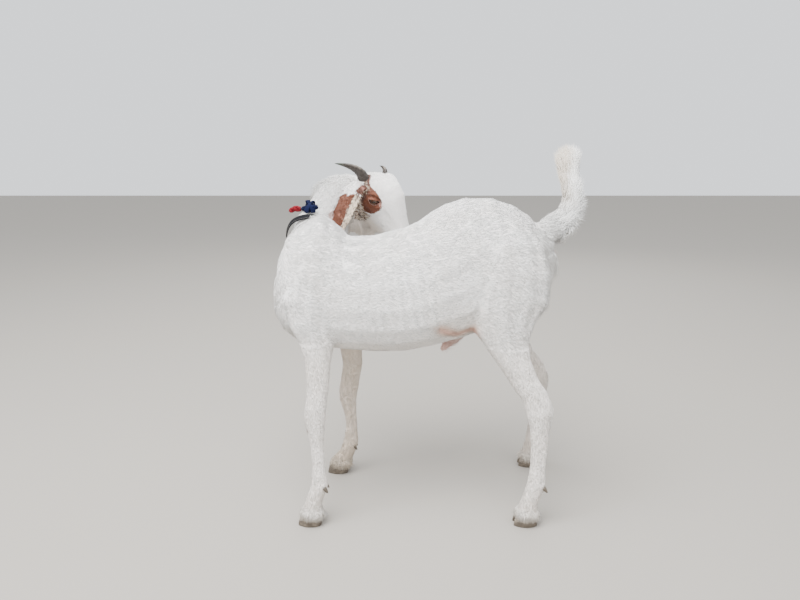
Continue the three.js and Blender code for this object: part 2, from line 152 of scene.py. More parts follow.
class GoatColours(bpy.types.PropertyGroup):
    """Colours of the coat and of what the goat wears."""

    white: colour_of("White", "Main colour of the coat", (0.95, 0.945, 0.925, 1.0))
    cream: colour_of("Cream", "Soiled and shaded hair", (0.62, 0.52, 0.40, 1.0))
    chestnut: colour_of("Chestnut", "Patches on ear and cheek", (0.115, 0.027, 0.006, 1.0))
    dark: colour_of("Dark", "Specks and the rims of the lids", (0.035, 0.014, 0.010, 1.0))
    pink: colour_of("Pink", "Bare skin", (0.55, 0.28, 0.22, 1.0))
    horn: colour_of("Horn", "Body of the horns", (0.034, 0.027, 0.022, 1.0))
    claw: colour_of("Claw", "Hoof horn", (0.13, 0.105, 0.08, 1.0))
    iris: colour_of("Iris", "Ring of the eye", (0.11, 0.045, 0.018, 1.0))
    strap: colour_of("Strap", "Collar's strap", (0.005, 0.005, 0.007, 1.0))
    knot: colour_of("Knot", "Cloth knotted on the collar", (0.003, 0.005, 0.026, 1.0))
    knot_faded: colour_of("Faded knot", "Worn places of the cloth", (0.005, 0.010, 0.048, 1.0))
    ribbon: colour_of("Ribbon", "Ribbon beside the knot", (0.19, 0.009, 0.016, 1.0))
    ribbon_faded: colour_of("Faded ribbon", "Worn places of the ribbon", (0.34, 0.07, 0.07, 1.0))


class GoatStage(bpy.types.PropertyGroup):
    """Floor, light and camera."""

    floor: colour_of("Floor", "Colour of the floor", (0.36, 0.335, 0.30, 1.0))
    sky: FloatProperty(name="Sky", description="Strength of the even light", default=1.45)
    key: FloatProperty(name="Key", description="Power of the main light in watts", default=320.0)
    fill: FloatProperty(name="Fill", description="Power of the side light in watts", default=40.0)
    lens: FloatProperty(name="Lens", description="Focal length in millimetres", default=28.8)


def settings(context):
    """The scene's sizes, colours and stage."""
    scene = context.scene
    return scene.goat_sizes, scene.goat_colours, scene.goat_stage


# ---------------------------------------------------------------- meshes


def new_mesh(name, points, faces):
    """An object at the origin from arrays of points and triangles (or quads of equal length)."""
    mesh = bpy.data.meshes.new(name)
    faces = np.asarray(faces, np.int32)
    corners = faces.shape[1]
    mesh.vertices.add(len(points))
    mesh.vertices.foreach_set("co", np.asarray(points, np.float32).ravel())
    mesh.loops.add(faces.size)
    mesh.loops.foreach_set("vertex_index", faces.ravel())
    mesh.polygons.add(len(faces))
    mesh.polygons.foreach_set("loop_start", np.arange(0, faces.size, corners, dtype=np.int32))
    mesh.polygons.foreach_set("use_smooth", np.ones(len(faces), bool))
    mesh.update(calc_edges=True)
    mesh.validate()
    obj = bpy.data.objects.new(name, mesh)
    bpy.context.scene.collection.objects.link(obj)
    return obj


def points_of(mesh):
    out = np.empty(len(mesh.vertices) * 3, np.float32)
    mesh.vertices.foreach_get("co", out)
    return out.reshape(-1, 3).astype(float)


def edges_of(mesh):
    out = np.empty(len(mesh.edges) * 2, np.int32)
    mesh.edges.foreach_get("vertices", out)
    return out.reshape(-1, 2)


def triangles_of(mesh):
    mesh.calc_loop_triangles()
    out = np.empty(len(mesh.loop_triangles) * 3, np.int32)
    mesh.loop_triangles.foreach_get("vertices", out)
    return out.reshape(-1, 3)


def normals_at(points, triangles):
    """Normal at each point of a triangle mesh, weighted by area."""
    a, b, c = (points[triangles[:, k]] for k in range(3))
    flat = np.cross(b - a, c - a)
    out = np.zeros_like(points)
    for k in range(3):
        for axis in range(3):
            out[:, axis] += np.bincount(triangles[:, k], flat[:, axis], len(points))
    return unit(out)


def neighbour_mean(values, edges, count):
    """Mean of each point's neighbours, for an array with one row a point."""
    a, b = edges[:, 0], edges[:, 1]
    degree = np.maximum(np.bincount(a, minlength=count) + np.bincount(b, minlength=count), 1)
    columns = [
        np.bincount(a, values[b, k], count) + np.bincount(b, values[a, k], count)
        for k in range(values.shape[1])
    ]
    return np.stack(columns, 1) / degree[:, None]


def relax(points, edges, rounds, keep=0.53):
    """Low-pass smoothing that hardly shrinks. rounds holds the number of rounds for each point."""
    points = points.copy()
    for step in range(int(rounds.max())):
        weight = np.clip((rounds - step) / 8.0, 0.0, 1.0)[:, None]
        for pull in (0.5, -keep):
            points += weight * pull * (neighbour_mean(points, edges, len(points)) - points)
    return points


def polyline_distance(points, line):
    """Distance of each point from a polyline, and the share of the way along it."""
    line = np.asarray(line, float)
    best = np.full(len(points), 1e9)
    along = np.zeros(len(points))
    steps = len(line) - 1
    for i, (a, b) in enumerate(zip(line[:-1], line[1:])):
        span = b - a
        t = np.clip((points - a) @ span / span.dot(span), 0.0, 1.0)
        gap = np.linalg.norm(points - a - t[:, None] * span, axis=1)
        near = gap < best
        best[near] = gap[near]
        along[near] = (i + t[near]) / steps
    return best, along


def on_path(path, along):
    """Places that share of the way along a path, and the path's step at each."""
    at = np.clip(along * (len(path) - 1), 0, len(path) - 1.001)
    low = at.astype(int)
    share = (at - low)[:, None]
    return path[low] * (1 - share) + path[low + 1] * share, path[low + 1] - path[low]


def ripple(points, scale, seed):
    """Smooth noise from -1 to 1: a few sine waves in fixed random directions."""
    rng = np.random.default_rng(seed)
    total = np.zeros(len(points))
    for _ in range(7):
        way = unit(rng.normal(size=3)) * rng.uniform(0.6, 1.7) / scale
        total += np.sin(points @ way * 2 * math.pi + rng.uniform(0, 2 * math.pi))
    return np.clip(total / 3.2, -1, 1)


def tube(centres, ups, widths, heights, around=24, shape=1.0):
    """Rings of a closed tube. Each ring is round centres[i], with half sizes along side and up."""
    centres = np.asarray(centres, float)
    tangent = unit(np.gradient(centres, axis=0))
    ups = np.asarray(ups, float)
    ups = unit(ups - tangent * np.sum(ups * tangent, 1)[:, None])
    side = np.cross(tangent, ups)
    angle = np.linspace(0, 2 * math.pi, around, endpoint=False)
    c = np.sign(np.cos(angle)) * np.abs(np.cos(angle)) ** shape
    s = np.sign(np.sin(angle)) * np.abs(np.sin(angle)) ** shape
    rings = centres[:, None] + (side * np.asarray(widths)[:, None])[:, None] * c[None, :, None]
    return rings + (ups * np.asarray(heights)[:, None])[:, None] * s[None, :, None]


def stitch(rings):
    """Points and triangles of the closed surface through rings, with a fan over each end."""
    count, around = rings.shape[:2]
    points = rings.reshape(-1, 3)
    faces = []
    turn = (np.arange(around) + 1) % around
    for r in range(count - 1):
        a = r * around + np.arange(around)
        b = r * around + turn
        faces.append(np.stack([a, b, a + around], 1))
        faces.append(np.stack([b, b + around, a + around], 1))
    ends = np.array([rings[0].mean(0), rings[-1].mean(0)])
    first, last = len(points), len(points) + 1
    a = np.arange(around)
    faces.append(np.stack([np.full(around, first), turn, a], 1))
    tail = (count - 1) * around
    faces.append(np.stack([np.full(around, last), tail + a, tail + turn], 1))
    return np.concatenate([points, ends]), np.concatenate(faces)


def outward(points, faces):
    """The faces, turned round if the closed surface is inside out."""
    a, b, c = (points[faces[:, k]] for k in range(3))
    volume = np.einsum("ij,ij->i", a, np.cross(b, c)).sum()
    return faces if volume > 0 else faces[:, ::-1]


def gather(parts):
    """One pair of arrays from several pairs of points and faces."""
    points, faces, base = [], [], 0
    for p, f in parts:
        points.append(p)
        faces.append(f + base)
        base += len(p)
    return np.concatenate(points), np.concatenate(faces)


def remeshed(bm, grain):
    """One even mesh over all the shells of a bmesh, which it frees."""
    mesh = bpy.data.meshes.new("rough")
    bm.to_mesh(mesh)
    bm.free()
    obj = bpy.data.objects.new("rough", mesh)
    bpy.context.scene.collection.objects.link(obj)
    remesh = obj.modifiers.new("remesh", "REMESH")
    remesh.mode = "VOXEL"
    remesh.voxel_size = grain
    graph = bpy.context.evaluated_depsgraph_get()
    result = bpy.data.meshes.new_from_object(obj.evaluated_get(graph))
    bpy.data.objects.remove(obj)
    bpy.data.meshes.remove(mesh)
    return result


def mark(obj, name, values):
    """Stores one number or vector for each point of the mesh."""
    values = np.asarray(values, np.float32)
    kind = "FLOAT_VECTOR" if values.ndim == 2 else "FLOAT"
    layer = obj.data.attributes.new(name, kind, "POINT")
    layer.data.foreach_set("vector" if values.ndim == 2 else "value", values.ravel())


def settle(obj, nodes=()):
    """The last step of a piece: it rides on the body, and stands for its nodes."""
    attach(obj, ROOT)
    if nodes:
        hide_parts(*nodes)
    return obj


# ---------------------------------------------------------------- materials


class Wire:
    """A shader value that takes part in Python expressions."""

    def __init__(self, recipe, socket):
        self.recipe = recipe
        self.socket = socket

    def maths(self, operation, *others, swap=False):
        values = [self, *others]
        if swap:
            values.reverse()
        node = self.recipe.node("ShaderNodeMath", {"operation": operation}, dict(enumerate(values)))
        return Wire(self.recipe, node.outputs[0])

    def __add__(self, other):
        return self.maths("ADD", other)

    __radd__ = __add__

    def __mul__(self, other):
        return self.maths("MULTIPLY", other)

    __rmul__ = __mul__

    def __sub__(self, other):
        return self.maths("SUBTRACT", other)

    def __rsub__(self, other):
        return self.maths("SUBTRACT", other, swap=True)

    def __truediv__(self, other):
        return self.maths("DIVIDE", other)

    def __rtruediv__(self, other):
        return self.maths("DIVIDE", other, swap=True)

    def __pow__(self, other):
        return self.maths("POWER", other)


class Recipe:
    """The node tree of one material."""

    def __init__(self, name, **constants):
        self.material = bpy.data.materials.new(name)
        self.material.use_nodes = True
        self.tree = self.material.node_tree
        self.shader = self.tree.nodes["Principled BSDF"]
        self.sockets = {s.name.lower().replace(" ", "_"): s for s in self.shader.inputs}
        self.set(**constants)

    def node(self, kind, facts=None, values=None):
        """Adds a node: its settings first, then what each socket holds or is linked to."""
        node = self.tree.nodes.new(kind)
        for key, value in (facts or {}).items():
            setattr(node, key, value)
        for key, value in (values or {}).items():
            self.feed(node.inputs[key], value)
        return node

    def feed(self, socket, value):
        if isinstance(value, Wire):
            self.tree.links.new(value.socket, socket)
        else:
            socket.default_value = value

    def set(self, **inputs):
        """Feeds the shader's sockets by their names, in small letters with underscores."""
        for key, value in inputs.items():
            self.feed(self.sockets[key], value)

    def attribute(self, name, vector=False):
        node = self.node("ShaderNodeAttribute", {"attribute_name": name})
        return Wire(self, node.outputs["Vector" if vector else "Fac"])

    def place(self):
        return Wire(self, self.node("ShaderNodeTexCoord").outputs["Object"])

    def noise(self, where, scale, detail=3.0, rough=0.55, stretch=None):
        if stretch:
            mapping = self.node("ShaderNodeMapping", None, {"Vector": where, "Scale": stretch})
            where = Wire(self, mapping.outputs[0])
        values = {"Vector": where, "Scale": scale, "Detail": detail, "Roughness": rough}
        return Wire(self, self.node("ShaderNodeTexNoise", None, values).outputs["Fac"])

    def ramp(self, value, low, high):
        """0 below low, 1 above high, soft between."""
        facts = {"interpolation_type": "SMOOTHSTEP"}
        values = {"Value": value, "From Min": low, "From Max": high}
        return Wire(self, self.node("ShaderNodeMapRange", facts, values).outputs[0])

    def mix(self, share, a, b, blend="MIX"):
        facts = {"data_type": "RGBA", "blend_type": blend}
        node = self.node("ShaderNodeMix", facts, {0: share, 6: a, 7: b})
        return Wire(self, node.outputs[2])

    def bump(self, height, depth, strength=1.0):
        values = {"Height": height, "Distance": depth, "Strength": strength}
        self.set(normal=Wire(self, self.node("ShaderNodeBump", None, values).outputs[0]))

    def wear(self, obj):
        obj.data.materials.clear()
        obj.data.materials.append(self.material)
        return obj


def shade(colour, factor):
    """The colour, darker or lighter."""
    return (*(min(1.0, c * factor) for c in colour[:3]), 1.0)


def coat_recipe(name, colours, bare):
    """Hair or skin. Both read the same marks, so their patches agree."""
    r = Recipe(name, roughness=0.62, sheen_weight=0.12, specular_ior_level=0.25)
    root = r.attribute("root", vector=True)
    broad = r.noise(root, 14, 2)
    patchy = r.noise(root, 120, 3)
    fine = r.noise(root, 420, 2, 0.6)
    white = r.mix(r.ramp(broad, 0.35, 0.75) * 0.10, tuple(colours.white), tuple(colours.cream))
    # Painted shade and real soiling both mix the white toward cream here.
    white = r.mix(r.attribute("soil_and_shade") * (0.6 + 0.6 * patchy), white, tuple(colours.cream))
    edge = r.attribute("chestnut") + (patchy - 0.5) * 0.55
    brown = r.mix(fine, shade(colours.chestnut, 0.55), shade(colours.chestnut, 1.5))
    # Painted shade: the brown darkens almost to black at the roots of horn and ear.
    brown = r.mix(r.attribute("shade_at_roots") * 0.85, brown, tuple(colours.dark))
    colour = r.mix(r.ramp(edge, 0.42, 0.58), white, brown)
    speck = r.ramp(fine + r.attribute("speckle") * 0.42 + (patchy - 0.5) * 0.2, 0.80, 0.88)
    colour = r.mix(speck, colour, tuple(colours.dark))
    fleck = r.ramp(r.noise(root, 330, 2) + r.attribute("fleck") * 0.42, 0.82, 0.90)
    colour = r.mix(fleck, colour, shade(colours.cream, 1.15))
    colour = r.mix(r.attribute("pink"), colour, tuple(colours.pink))
    colour = r.mix(r.attribute("rim"), colour, tuple(colours.dark))
    if bare:
        r.set(base_color=r.mix(0.12, colour, tuple(colours.pink)))
        grain = r.noise(r.place(), 600, 3, 0.6) + r.noise(r.place(), 160, 2) * 0.6
        r.bump(grain, 0.0012, 0.5)
    else:
        tint = r.attribute("tint")
        r.set(base_color=r.mix(tint, colour, (0, 0, 0, 1)))
    return r


def horn_recipe(colours):
    r = Recipe("horn", roughness=0.42, specular_ior_level=0.45)
    along = r.attribute("along")
    streaks = r.noise(r.place(), 90, 4, 0.6)
    pale = (0.16, 0.135, 0.11, 1.0)
    band = r.ramp(along + (streaks - 0.5) * 0.5, 0.28, 0.5) * (1 - r.ramp(along, 0.55, 0.8))
    # Painted light: the pale band shows only where the horn faces up.
    colour = r.mix(band * r.ramp(r.attribute("upper"), 0.2, 0.9), tuple(colours.horn), pale)
    colour = r.mix(r.ramp(along, 0.78, 0.95) * 0.6, colour, (0.06, 0.085, 0.06, 1.0))
    colour = r.mix(r.ramp(streaks, 0.5, 0.75) * 0.5, colour, shade(colours.horn, 0.4))
    r.set(base_color=colour, roughness=0.35 + streaks * 0.3)
    r.bump(streaks + r.noise(r.place(), 500, 2) * 0.4, 0.0009, 0.6)
    return r


def claw_recipe(colours):
    r = Recipe("claw", specular_ior_level=0.4)
    place = r.place()
    level = r.attribute("level")
    bands = r.noise(place, 260, 3, 0.6, stretch=(0.25, 0.25, 3.0))
    colour = r.mix(bands, shade(colours.claw, 0.35), shade(colours.claw, 1.1))
    pale = r.mix(bands, (0.30, 0.25, 0.19, 1.0), (0.50, 0.44, 0.36, 1.0))
    upper = r.ramp(level + (bands - 0.5) * 0.35, 0.36, 0.62) * (1.0 - r.attribute("black"))
    colour = r.mix(upper, colour, pale)
    dust = r.ramp(r.noise(place, 70, 4), 0.45, 0.7) * 0.4
    colour = r.mix(dust, colour, (0.34, 0.28, 0.21, 1.0))
    r.set(base_color=colour, roughness=0.5 + bands * 0.35)
    r.bump(bands, 0.0008, 0.7)
    return r


def eye_recipe(colours):
    """Pupil and iris follow two marks: across and up from the eye's axis."""
    r = Recipe("eye", roughness=0.15, coat_weight=0.35, coat_roughness=0.03, specular_ior_level=0.3)
    across = r.attribute("across")
    up = r.attribute("up")
    radius = (across * across + up * up) ** 0.5
    slit = ((across / 0.40) ** 4 + (up / 0.115) ** 4) ** 0.25
    fibres = r.noise(r.place(), 1200, 3)
    iris = r.mix(fibres, shade(colours.iris, 0.25), shade(colours.iris, 0.8))
    iris = r.mix(r.ramp(radius, 0.5, 0.68), iris, (0.012, 0.008, 0.007, 1.0))
    colour = r.mix(r.ramp(slit, 0.95, 1.08), (0.003, 0.003, 0.004, 1.0), iris)
    white = r.mix(fibres, (0.10, 0.065, 0.055, 1.0), (0.05, 0.03, 0.025, 1.0))
    colour = r.mix(r.ramp(radius, 0.70, 0.78), colour, white)
    r.set(base_color=colour)
    return r


def strap_recipe(colours):
    r = Recipe("strap", specular_ior_level=0.12)
    place = r.place()
    weave = r.noise(place, 700, 3, 0.7)
    worn = r.ramp(r.noise(place, 45, 4), 0.5, 0.72)
    r.set(
        base_color=r.mix(worn * 0.3, tuple(colours.strap), (0.03, 0.028, 0.026, 1.0)),
        roughness=0.6 + weave * 0.35,
    )
    r.bump(weave, 0.0006, 0.7)
    return r


def cloth_recipe(name, colour, faded):
    r = Recipe(name, roughness=0.9, sheen_weight=0.04, specular_ior_level=0.1)
    place = r.place()
    threads = r.noise(place, 900, 2, 0.6, stretch=(1.0, 0.3, 1.0))
    worn = r.ramp(r.noise(place, 80, 4), 0.45, 0.75)
    base = r.mix(worn * 0.45, tuple(colour), tuple(faded))
    # Painted shade: the cloth darkens in the grooves of its folds.
    r.set(base_color=r.mix(r.attribute("fold"), base, shade(colour, 0.18)))
    r.bump(threads, 0.0007, 0.8)
    return r


# ---------------------------------------------------------------- the skin

# Centre line and half width of each ear, root to tip, and its face's direction half way.
EAR_LINES = {
    "ear_right": (
        [(-84, 177, 768), (-100, 150, 764), (-117, 120, 747), (-129, 94, 722)]
        + [(-141, 78, 694), (-149, 72, 669), (-153, 71, 648)],
        (-0.3, -1.0, 0.2),
    ),
    "ear_left": (
        [(-50, 220, 784), (-46, 238, 780), (-43, 254, 764), (-40, 263, 738)]
        + [(-40, 266, 706), (-40, 264, 674), (-40, 260, 648)],
        (0.2, 1.0, 0.1),
    ),
}
EAR_HALF = 29.0
TAIL_LINE = [(312, 0, 662), (340, 0, 672), (366, 0, 692), (382, 0, 722), (385, 0, 755)]
TAIL_LINE += [(380, 0, 787), (377, 0, 817), (375.5, 0, 846)]
TAIL_FOOT = 0.740
TAIL_TOP = 0.857
TAIL_SHORTER = 0.20
NECK_LINE = [(-186, 18, 610), (-208, 54, 638), (-199, 100, 664), (-177, 146, 694)]
NECK_LINE += [(-156, 180, 718), (-131, 202, 735), (-96, 210, 742)]


def line(places):
    """Places of the stance as points of the frame."""
    return np.array([spot(*p) for p in places])


def ear_place(points, name):
    """How far along the ear each point is, its share across it, and its distance."""
    places, face = EAR_LINES[name]
    path = line(places)
    gap, along = polyline_distance(points, path)
    centre, step = on_path(path, along)
    side = unit(np.cross(unit(step), unit(face)))
    side = side * np.sign(side[:, :1])
    across = np.sum((points - centre) * side, 1) / (EAR_HALF * MM)
    return along, across, gap


def ear_bend(across):
    """How far the ear's blade lies behind its middle line, in millimetres."""
    return 5.5 * np.clip(across**2, 0, 1.6) - 1.5


# A skin point further than this from a node has no share in it.
REACH = 0.014


def label_parts(mesh):
    """Gives each point its share in each node of the flesh: 1 on the nearest, and soft between."""
    points, edges = points_of(mesh), edges_of(mesh)
    nearest = np.full(len(points), np.inf)
    owner = np.zeros(len(points), int)
    for index, name in enumerate(FLESH):
        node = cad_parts[name].data
        low, high = (np.array(corner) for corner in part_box(name))
        inside = np.all((points > low - REACH) & (points < high + REACH), 1)
        tree = BVHTree.FromPolygons(points_of(node).tolist(), triangles_of(node).tolist())
        for j in np.nonzero(inside)[0]:
            gap = tree.find_nearest(Vector(points[j]), REACH)[3]
            if gap is not None and gap < nearest[j]:
                nearest[j] = gap
                owner[j] = index
    shares = (owner[:, None] == np.arange(len(FLESH))[None]).astype(float)
    for _ in range(3):
        shares = 0.5 * shares + 0.5 * neighbour_mean(shares, edges, len(points))
    for index, name in enumerate(FLESH):
        layer = mesh.attributes.new(f"part_{name}", "FLOAT", "POINT")
        layer.data.foreach_set("value", shares[:, index].astype(np.float32))


class Flesh:
    """The skin's mesh as arrays, with what is known about each of its points."""

    def __init__(self, mesh):
        self.points = points_of(mesh)
        self.edges = edges_of(mesh)
        self.faces = triangles_of(mesh)
        self.part = {}
        for name in FLESH:
            share = np.empty(len(self.points), np.float32)
            mesh.attributes[f"part_{name}"].data.foreach_get("value", share)
            self.part[name] = share.astype(float)
        self.stance = (self.points - STANCE) / MM
        self.head = to_head(self.points)
        self.face = self.part["head"]
        self.ears = self.part["ear_right"] + self.part["ear_left"]
        self.neck = self.part["neck"]
        self.legs = smooth_step(450 - self.stance[:, 2], 0, 70) * (np.abs(self.stance[:, 1]) > 20)
        limbs = sum(share for name, share in self.part.items() if name.startswith("leg_"))
        self.legs = np.maximum(limbs, self.legs * (self.part["trunk"] * 0.6))
        self.tail_along = polyline_distance(self.points, line(TAIL_LINE))[1]
        self.tail = self.part["tail"] * smooth_step(self.stance[:, 0], 318, 345)

    def normals(self):
        return normals_at(self.points, self.faces)

    def tail_back(self, normals):
        """1 on the hind face of the tail's lower half, where its hair hangs down."""
        return smooth_step(normals[:, 0], 0.35, 0.6) * smooth_step(0.52 - self.tail_along, 0, 0.1)


def joined_flesh(sizes):
    """Copies of the flesh nodes, swollen until the thin cuts close, and remeshed as one."""
    bm = bmesh.new()
    for name in FLESH:
        part = bmesh.new()
        part.from_mesh(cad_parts[name].data)
        bmesh.ops.remove_doubles(part, verts=part.verts, dist=1e-5)
        bmesh.ops.triangulate(part, faces=part.faces)
        part.normal_update()
        ways = [v.normal.copy() for v in part.verts]
        for vert, way in zip(part.verts, ways):
            vert.co += way * sizes.swell
        copy = bpy.data.meshes.new("swollen")
        part.to_mesh(copy)
        part.free()
        bm.from_mesh(copy)
        bpy.data.meshes.remove(copy)
    return remeshed(bm, sizes.voxel)


def refine(mesh, wanted):
    """Halves the edges whose points are all wanted, and splits every face into triangles."""
    bm = bmesh.new()
    bm.from_mesh(mesh)
    bm.verts.ensure_lookup_table()
    chosen = [e for e in bm.edges if wanted[e.verts[0].index] and wanted[e.verts[1].index]]
    bmesh.ops.subdivide_edges(bm, edges=chosen, cuts=1, use_grid_fill=True)
    bmesh.ops.triangulate(bm, faces=bm.faces)
    bm.to_mesh(mesh)
    bm.free()
    return mesh


def store(mesh, points):
    mesh.vertices.foreach_set("co", points.astype(np.float32).ravel())
    mesh.update()


def drop_crumbs(mesh):
    """Keeps the largest shell of the mesh."""
    edges = edges_of(mesh)
    label = np.arange(len(mesh.vertices))
    while True:
        low = np.minimum(label[edges[:, 0]], label[edges[:, 1]])
        before = label.copy()
        np.minimum.at(label, edges[:, 0], low)
        np.minimum.at(label, edges[:, 1], low)
        label = label[label]
        if np.array_equal(before, label):
            break
    main = np.bincount(label).argmax()
    if (label == main).all():
        return mesh
    bm = bmesh.new()
    bm.from_mesh(mesh)
    bm.verts.ensure_lookup_table()
    stray = [v for v in bm.verts if label[v.index] != main]
    bmesh.ops.delete(bm, geom=stray, context="VERTS")
    bm.to_mesh(mesh)
    bm.free()
    return mesh


def slim_tail(flesh, core):
    """Draws the tail in towards its centre line: its coat is long."""
    centre = on_path(line(TAIL_LINE), flesh.tail_along)[0]
    centre += np.array([-0.004, 0, 0]) * flesh.tail_along[:, None]
    factor = 1 - flesh.tail * (1 - core) * smooth_step(flesh.tail_along, 0.02, 0.5)
    moved = centre + (flesh.points - centre) * factor[:, None]
    # The bare tail ends well below the tip of its coat.
    foot, top = TAIL_FOOT + STANCE[2], TAIL_TOP + STANCE[2]
    squeeze = smooth_step(moved[:, 2], foot, top) * flesh.tail
    moved[:, 2] -= squeeze * (moved[:, 2] - foot) * TAIL_SHORTER
    return moved


def groove(head, path, width, depth):
    """Depth of a groove along a path in the head's millimetres."""
    gap, _ = polyline_distance(head, path)
    return -depth * bell(gap, width)


def face_forms(head):
    """How far each point of the head moves along its normal, in millimetres."""
    x, y, z = head.T
    across = np.abs(y)
    mirror = np.stack([x, across, z], 1)
    push = np.zeros(len(head))
    push += 3.0 * bell(np.linalg.norm(mirror - (-14, 41, -52), axis=1), 30)
    push += 1.8 * bell(polyline_distance(mirror, [(22, 40, -6), (-14, 46, -16), (-44, 42, -4)])[0], 9)
    push += 1.5 * bell(polyline_distance(mirror, [(26, 38, -14), (60, 31, -22)])[0], 8)
    push += -1.6 * bell(polyline_distance(mirror, [(40, 33, 8), (78, 25, -2)])[0], 9)
    push += 1.5 * bell(polyline_distance(mirror, [(70, 14, 30), (30, 22, 50)])[0], 9)
    # Lips, chin and the wings of the nose.
    lips = [(124, 0, -25), (119, 12, -26), (106, 21, -29), (90, 26, -32), (80, 28, -34)]
    gap, along = polyline_distance(mirror, lips)
    push += 1.6 * bell(gap - 5, 4)
    push += -2.6 * bell(gap, 1.7)
    push += 2.5 * bell(np.linalg.norm(mirror - (106, 0, -42), axis=1), 10)
    nostril = [(119, 6.5, -13), (117.5, 11, -9), (112.5, 14.5, -7), (106.5, 16.5, -8)]
    gap, along = polyline_distance(mirror, nostril)
    push += 1.6 * bell(gap - 5.2, 2.6)
    push += -6.0 * bell(gap, 2.3) * (1 - 0.45 * along)
    push += groove(mirror, [(126, 0, -10), (127, 0, -23)], 1.5, 1.5)
    return push


def body_forms(flesh):
    """Muscles, bones and folds of trunk and legs, in millimetres along the normal."""
    p = flesh.stance
    x, y, z = p.T
    push = np.zeros(len(p))

    def ridge(places, width, height, mirrored=True):
        nonlocal push
        sides = (1, -1) if mirrored else (1,)
        for side in sides:
            gap, _ = polyline_distance(p, [(a, side * b, c) for a, b, c in places])
            push = push + height * bell(gap, width)

    ridge([(-232, 72, 480), (-214, 88, 540), (-190, 84, 620)], 24, 2.0)
    ridge([(-215, 100, 470), (-180, 104, 500)], 20, 1.5)
    ridge([(-150, 104, 420), (-140, 108, 520), (-158, 96, 620)], 24, -1.6)
    ridge([(258, 66, 716), (240, 78, 706)], 18, 2.5)
    ridge([(196, 92, 560), (180, 96, 500), (172, 92, 460)], 24, 1.4)
    ridge([(196, 108, 640), (150, 112, 560), (120, 112, 500)], 34, -2.5)
    ridge([(318, 44, 688), (330, 50, 650)], 16, 2.5)
    ridge([(300, 70, 560), (280, 82, 480), (285, 88, 430)], 20, -1.4)
    for rib in range(7):
        low = (-60 + rib * 24, 116, 440)
        high = (-78 + rib * 22, 100, 610)
        ridge([low, ((low[0] + high[0]) / 2, 118, 530), high], 8, 0.5)
    for (fx, fy), _ in FEET.values():
        near = bell(np.hypot(x - fx, y - fy), 55) * (z < 60)
        cleft = bell(y - fy, 4.0) * smooth_step(np.abs(x - fx), 4, 16) * near
        push -= 4.0 * cleft * smooth_step(52 - z, 0, 22)
        push += 1.2 * near * bell(z - 33, 6)
    return push


def leg_details(flesh):
    """Tendon grooves and joints on the lower legs."""
    p = flesh.stance
    push = np.zeros(len(p))
    joints = [(-190, -105, 268, 20), (-131, 109, 250, 20), (316, -113, 258, 22), (362, 126, 258, 22)]
    for x, y, z, size in joints:
        gap = np.linalg.norm(p - (x, y, z), axis=1)
        push += 0.8 * bell(gap - size, 7)
    bones = [
        [(-187, -113, 196), (-187, -118, 110)],
        [(-127, 118, 172), (-130, 121, 110)],
        [(318, -117, 190), (317, -120, 110)],
        [(364, 138, 190), (365, 148, 110)],
    ]
    for top, low in bones:
        behind = [(top[0] + 6, top[1], top[2]), (low[0] + 6, low[1], low[2])]
        for side in (-1, 1):
            groove_line = [(a, b + side * 14, c) for a, b, c in behind]
            push -= 1.6 * bell(polyline_distance(p, groove_line)[0], 4.5)
    return push


def leg_shifts(flesh):
    """Moves knees forward and the points of the hocks, and the fetlocks, back."""
    p = flesh.stance
    move = np.zeros_like(p)

    def shift(place, reach, amount):
        gap = np.linalg.norm((p - place) / reach, axis=1)
        move[:, 0] += amount * bell(gap, 1.0)

    shift((-214, -106, 254), (20, 30, 42), -4.5)
    shift((-154, 110, 236), (20, 30, 38), -3.0)
    shift((345, -113, 288), (24, 26, 26), 8.0)
    shift((392, 124, 292), (24, 26, 26), 7.0)
    for (_, fy), (dx, dz) in FEET.values():
        shift((dx - 6, fy, dz + 6), (18, 26, 24), 5.0)
    return move


def curl_ears(flesh):
    """Bends the edges of each ear towards the head, so that its outer face is rounded."""
    moved = flesh.points.copy()
    for name, (_, face) in EAR_LINES.items():
        along, across, _ = ear_place(flesh.points, name)
        near = flesh.part[name] * smooth_step(along, 0.1, 0.35)
        moved -= (near * ear_bend(across) * MM)[:, None] * unit(face)
    return moved


# ---------------------------------------------------------------- eyes and lids


class Eye:
    """Where one eye sits, and which way it looks."""

    def __init__(self, name, side):
        low, high = (np.array(c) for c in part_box(name))
        self.name = name
        self.centre = (low + high) / 2
        self.radius = float((high - low).mean() / 2)
        inner = unit([0.74, -side * 0.5, 0.43])
        look = np.array([0.48, side * 0.83, 0.25])
        look = unit(look - inner * look.dot(inner))
        top = np.cross(inner, look) * side
        self.inner, self.look, self.top = (head_way(v) for v in (inner, look, top))

    def plane(self, points):
        """Across towards the nose, up, and out along the eye's axis, in millimetres."""
        q = (points - self.centre) / MM
        return q @ self.inner, q @ self.top, q @ self.look

    def solve(self, a, b, h):
        """The reverse of plane: places of the eye as points of the frame."""
        a, b, h = (np.asarray(v)[..., None] for v in (a, b, h))
        return self.centre + MM * (a * self.inner + b * self.top + h * self.look)


EYES = [Eye("eye_right", -1), Eye("eye_left", 1)]
LID_REACH = (25.0, 21.0)


def opening(angle):
    """The almond between the lids: flat above, deeper below, drawn out at the inner corner."""
    c, s = np.cos(angle), np.sin(angle)
    a = np.where(c > 0, 13.4, 12.2) * np.sign(c) * np.abs(c) ** 0.9
    b = np.where(s > 0, 6.0, 7.4) * np.sign(s) * np.abs(s) ** 1.1
    return a, b - 0.6 + 0.03 * a


def ball_height(a, b, radius):
    """How far out the eyeball's surface lies, in millimetres, and its edge past the ball."""
    flat = np.minimum(np.hypot(a, b), 0.96 * radius)
    return np.sqrt(radius**2 - flat**2)


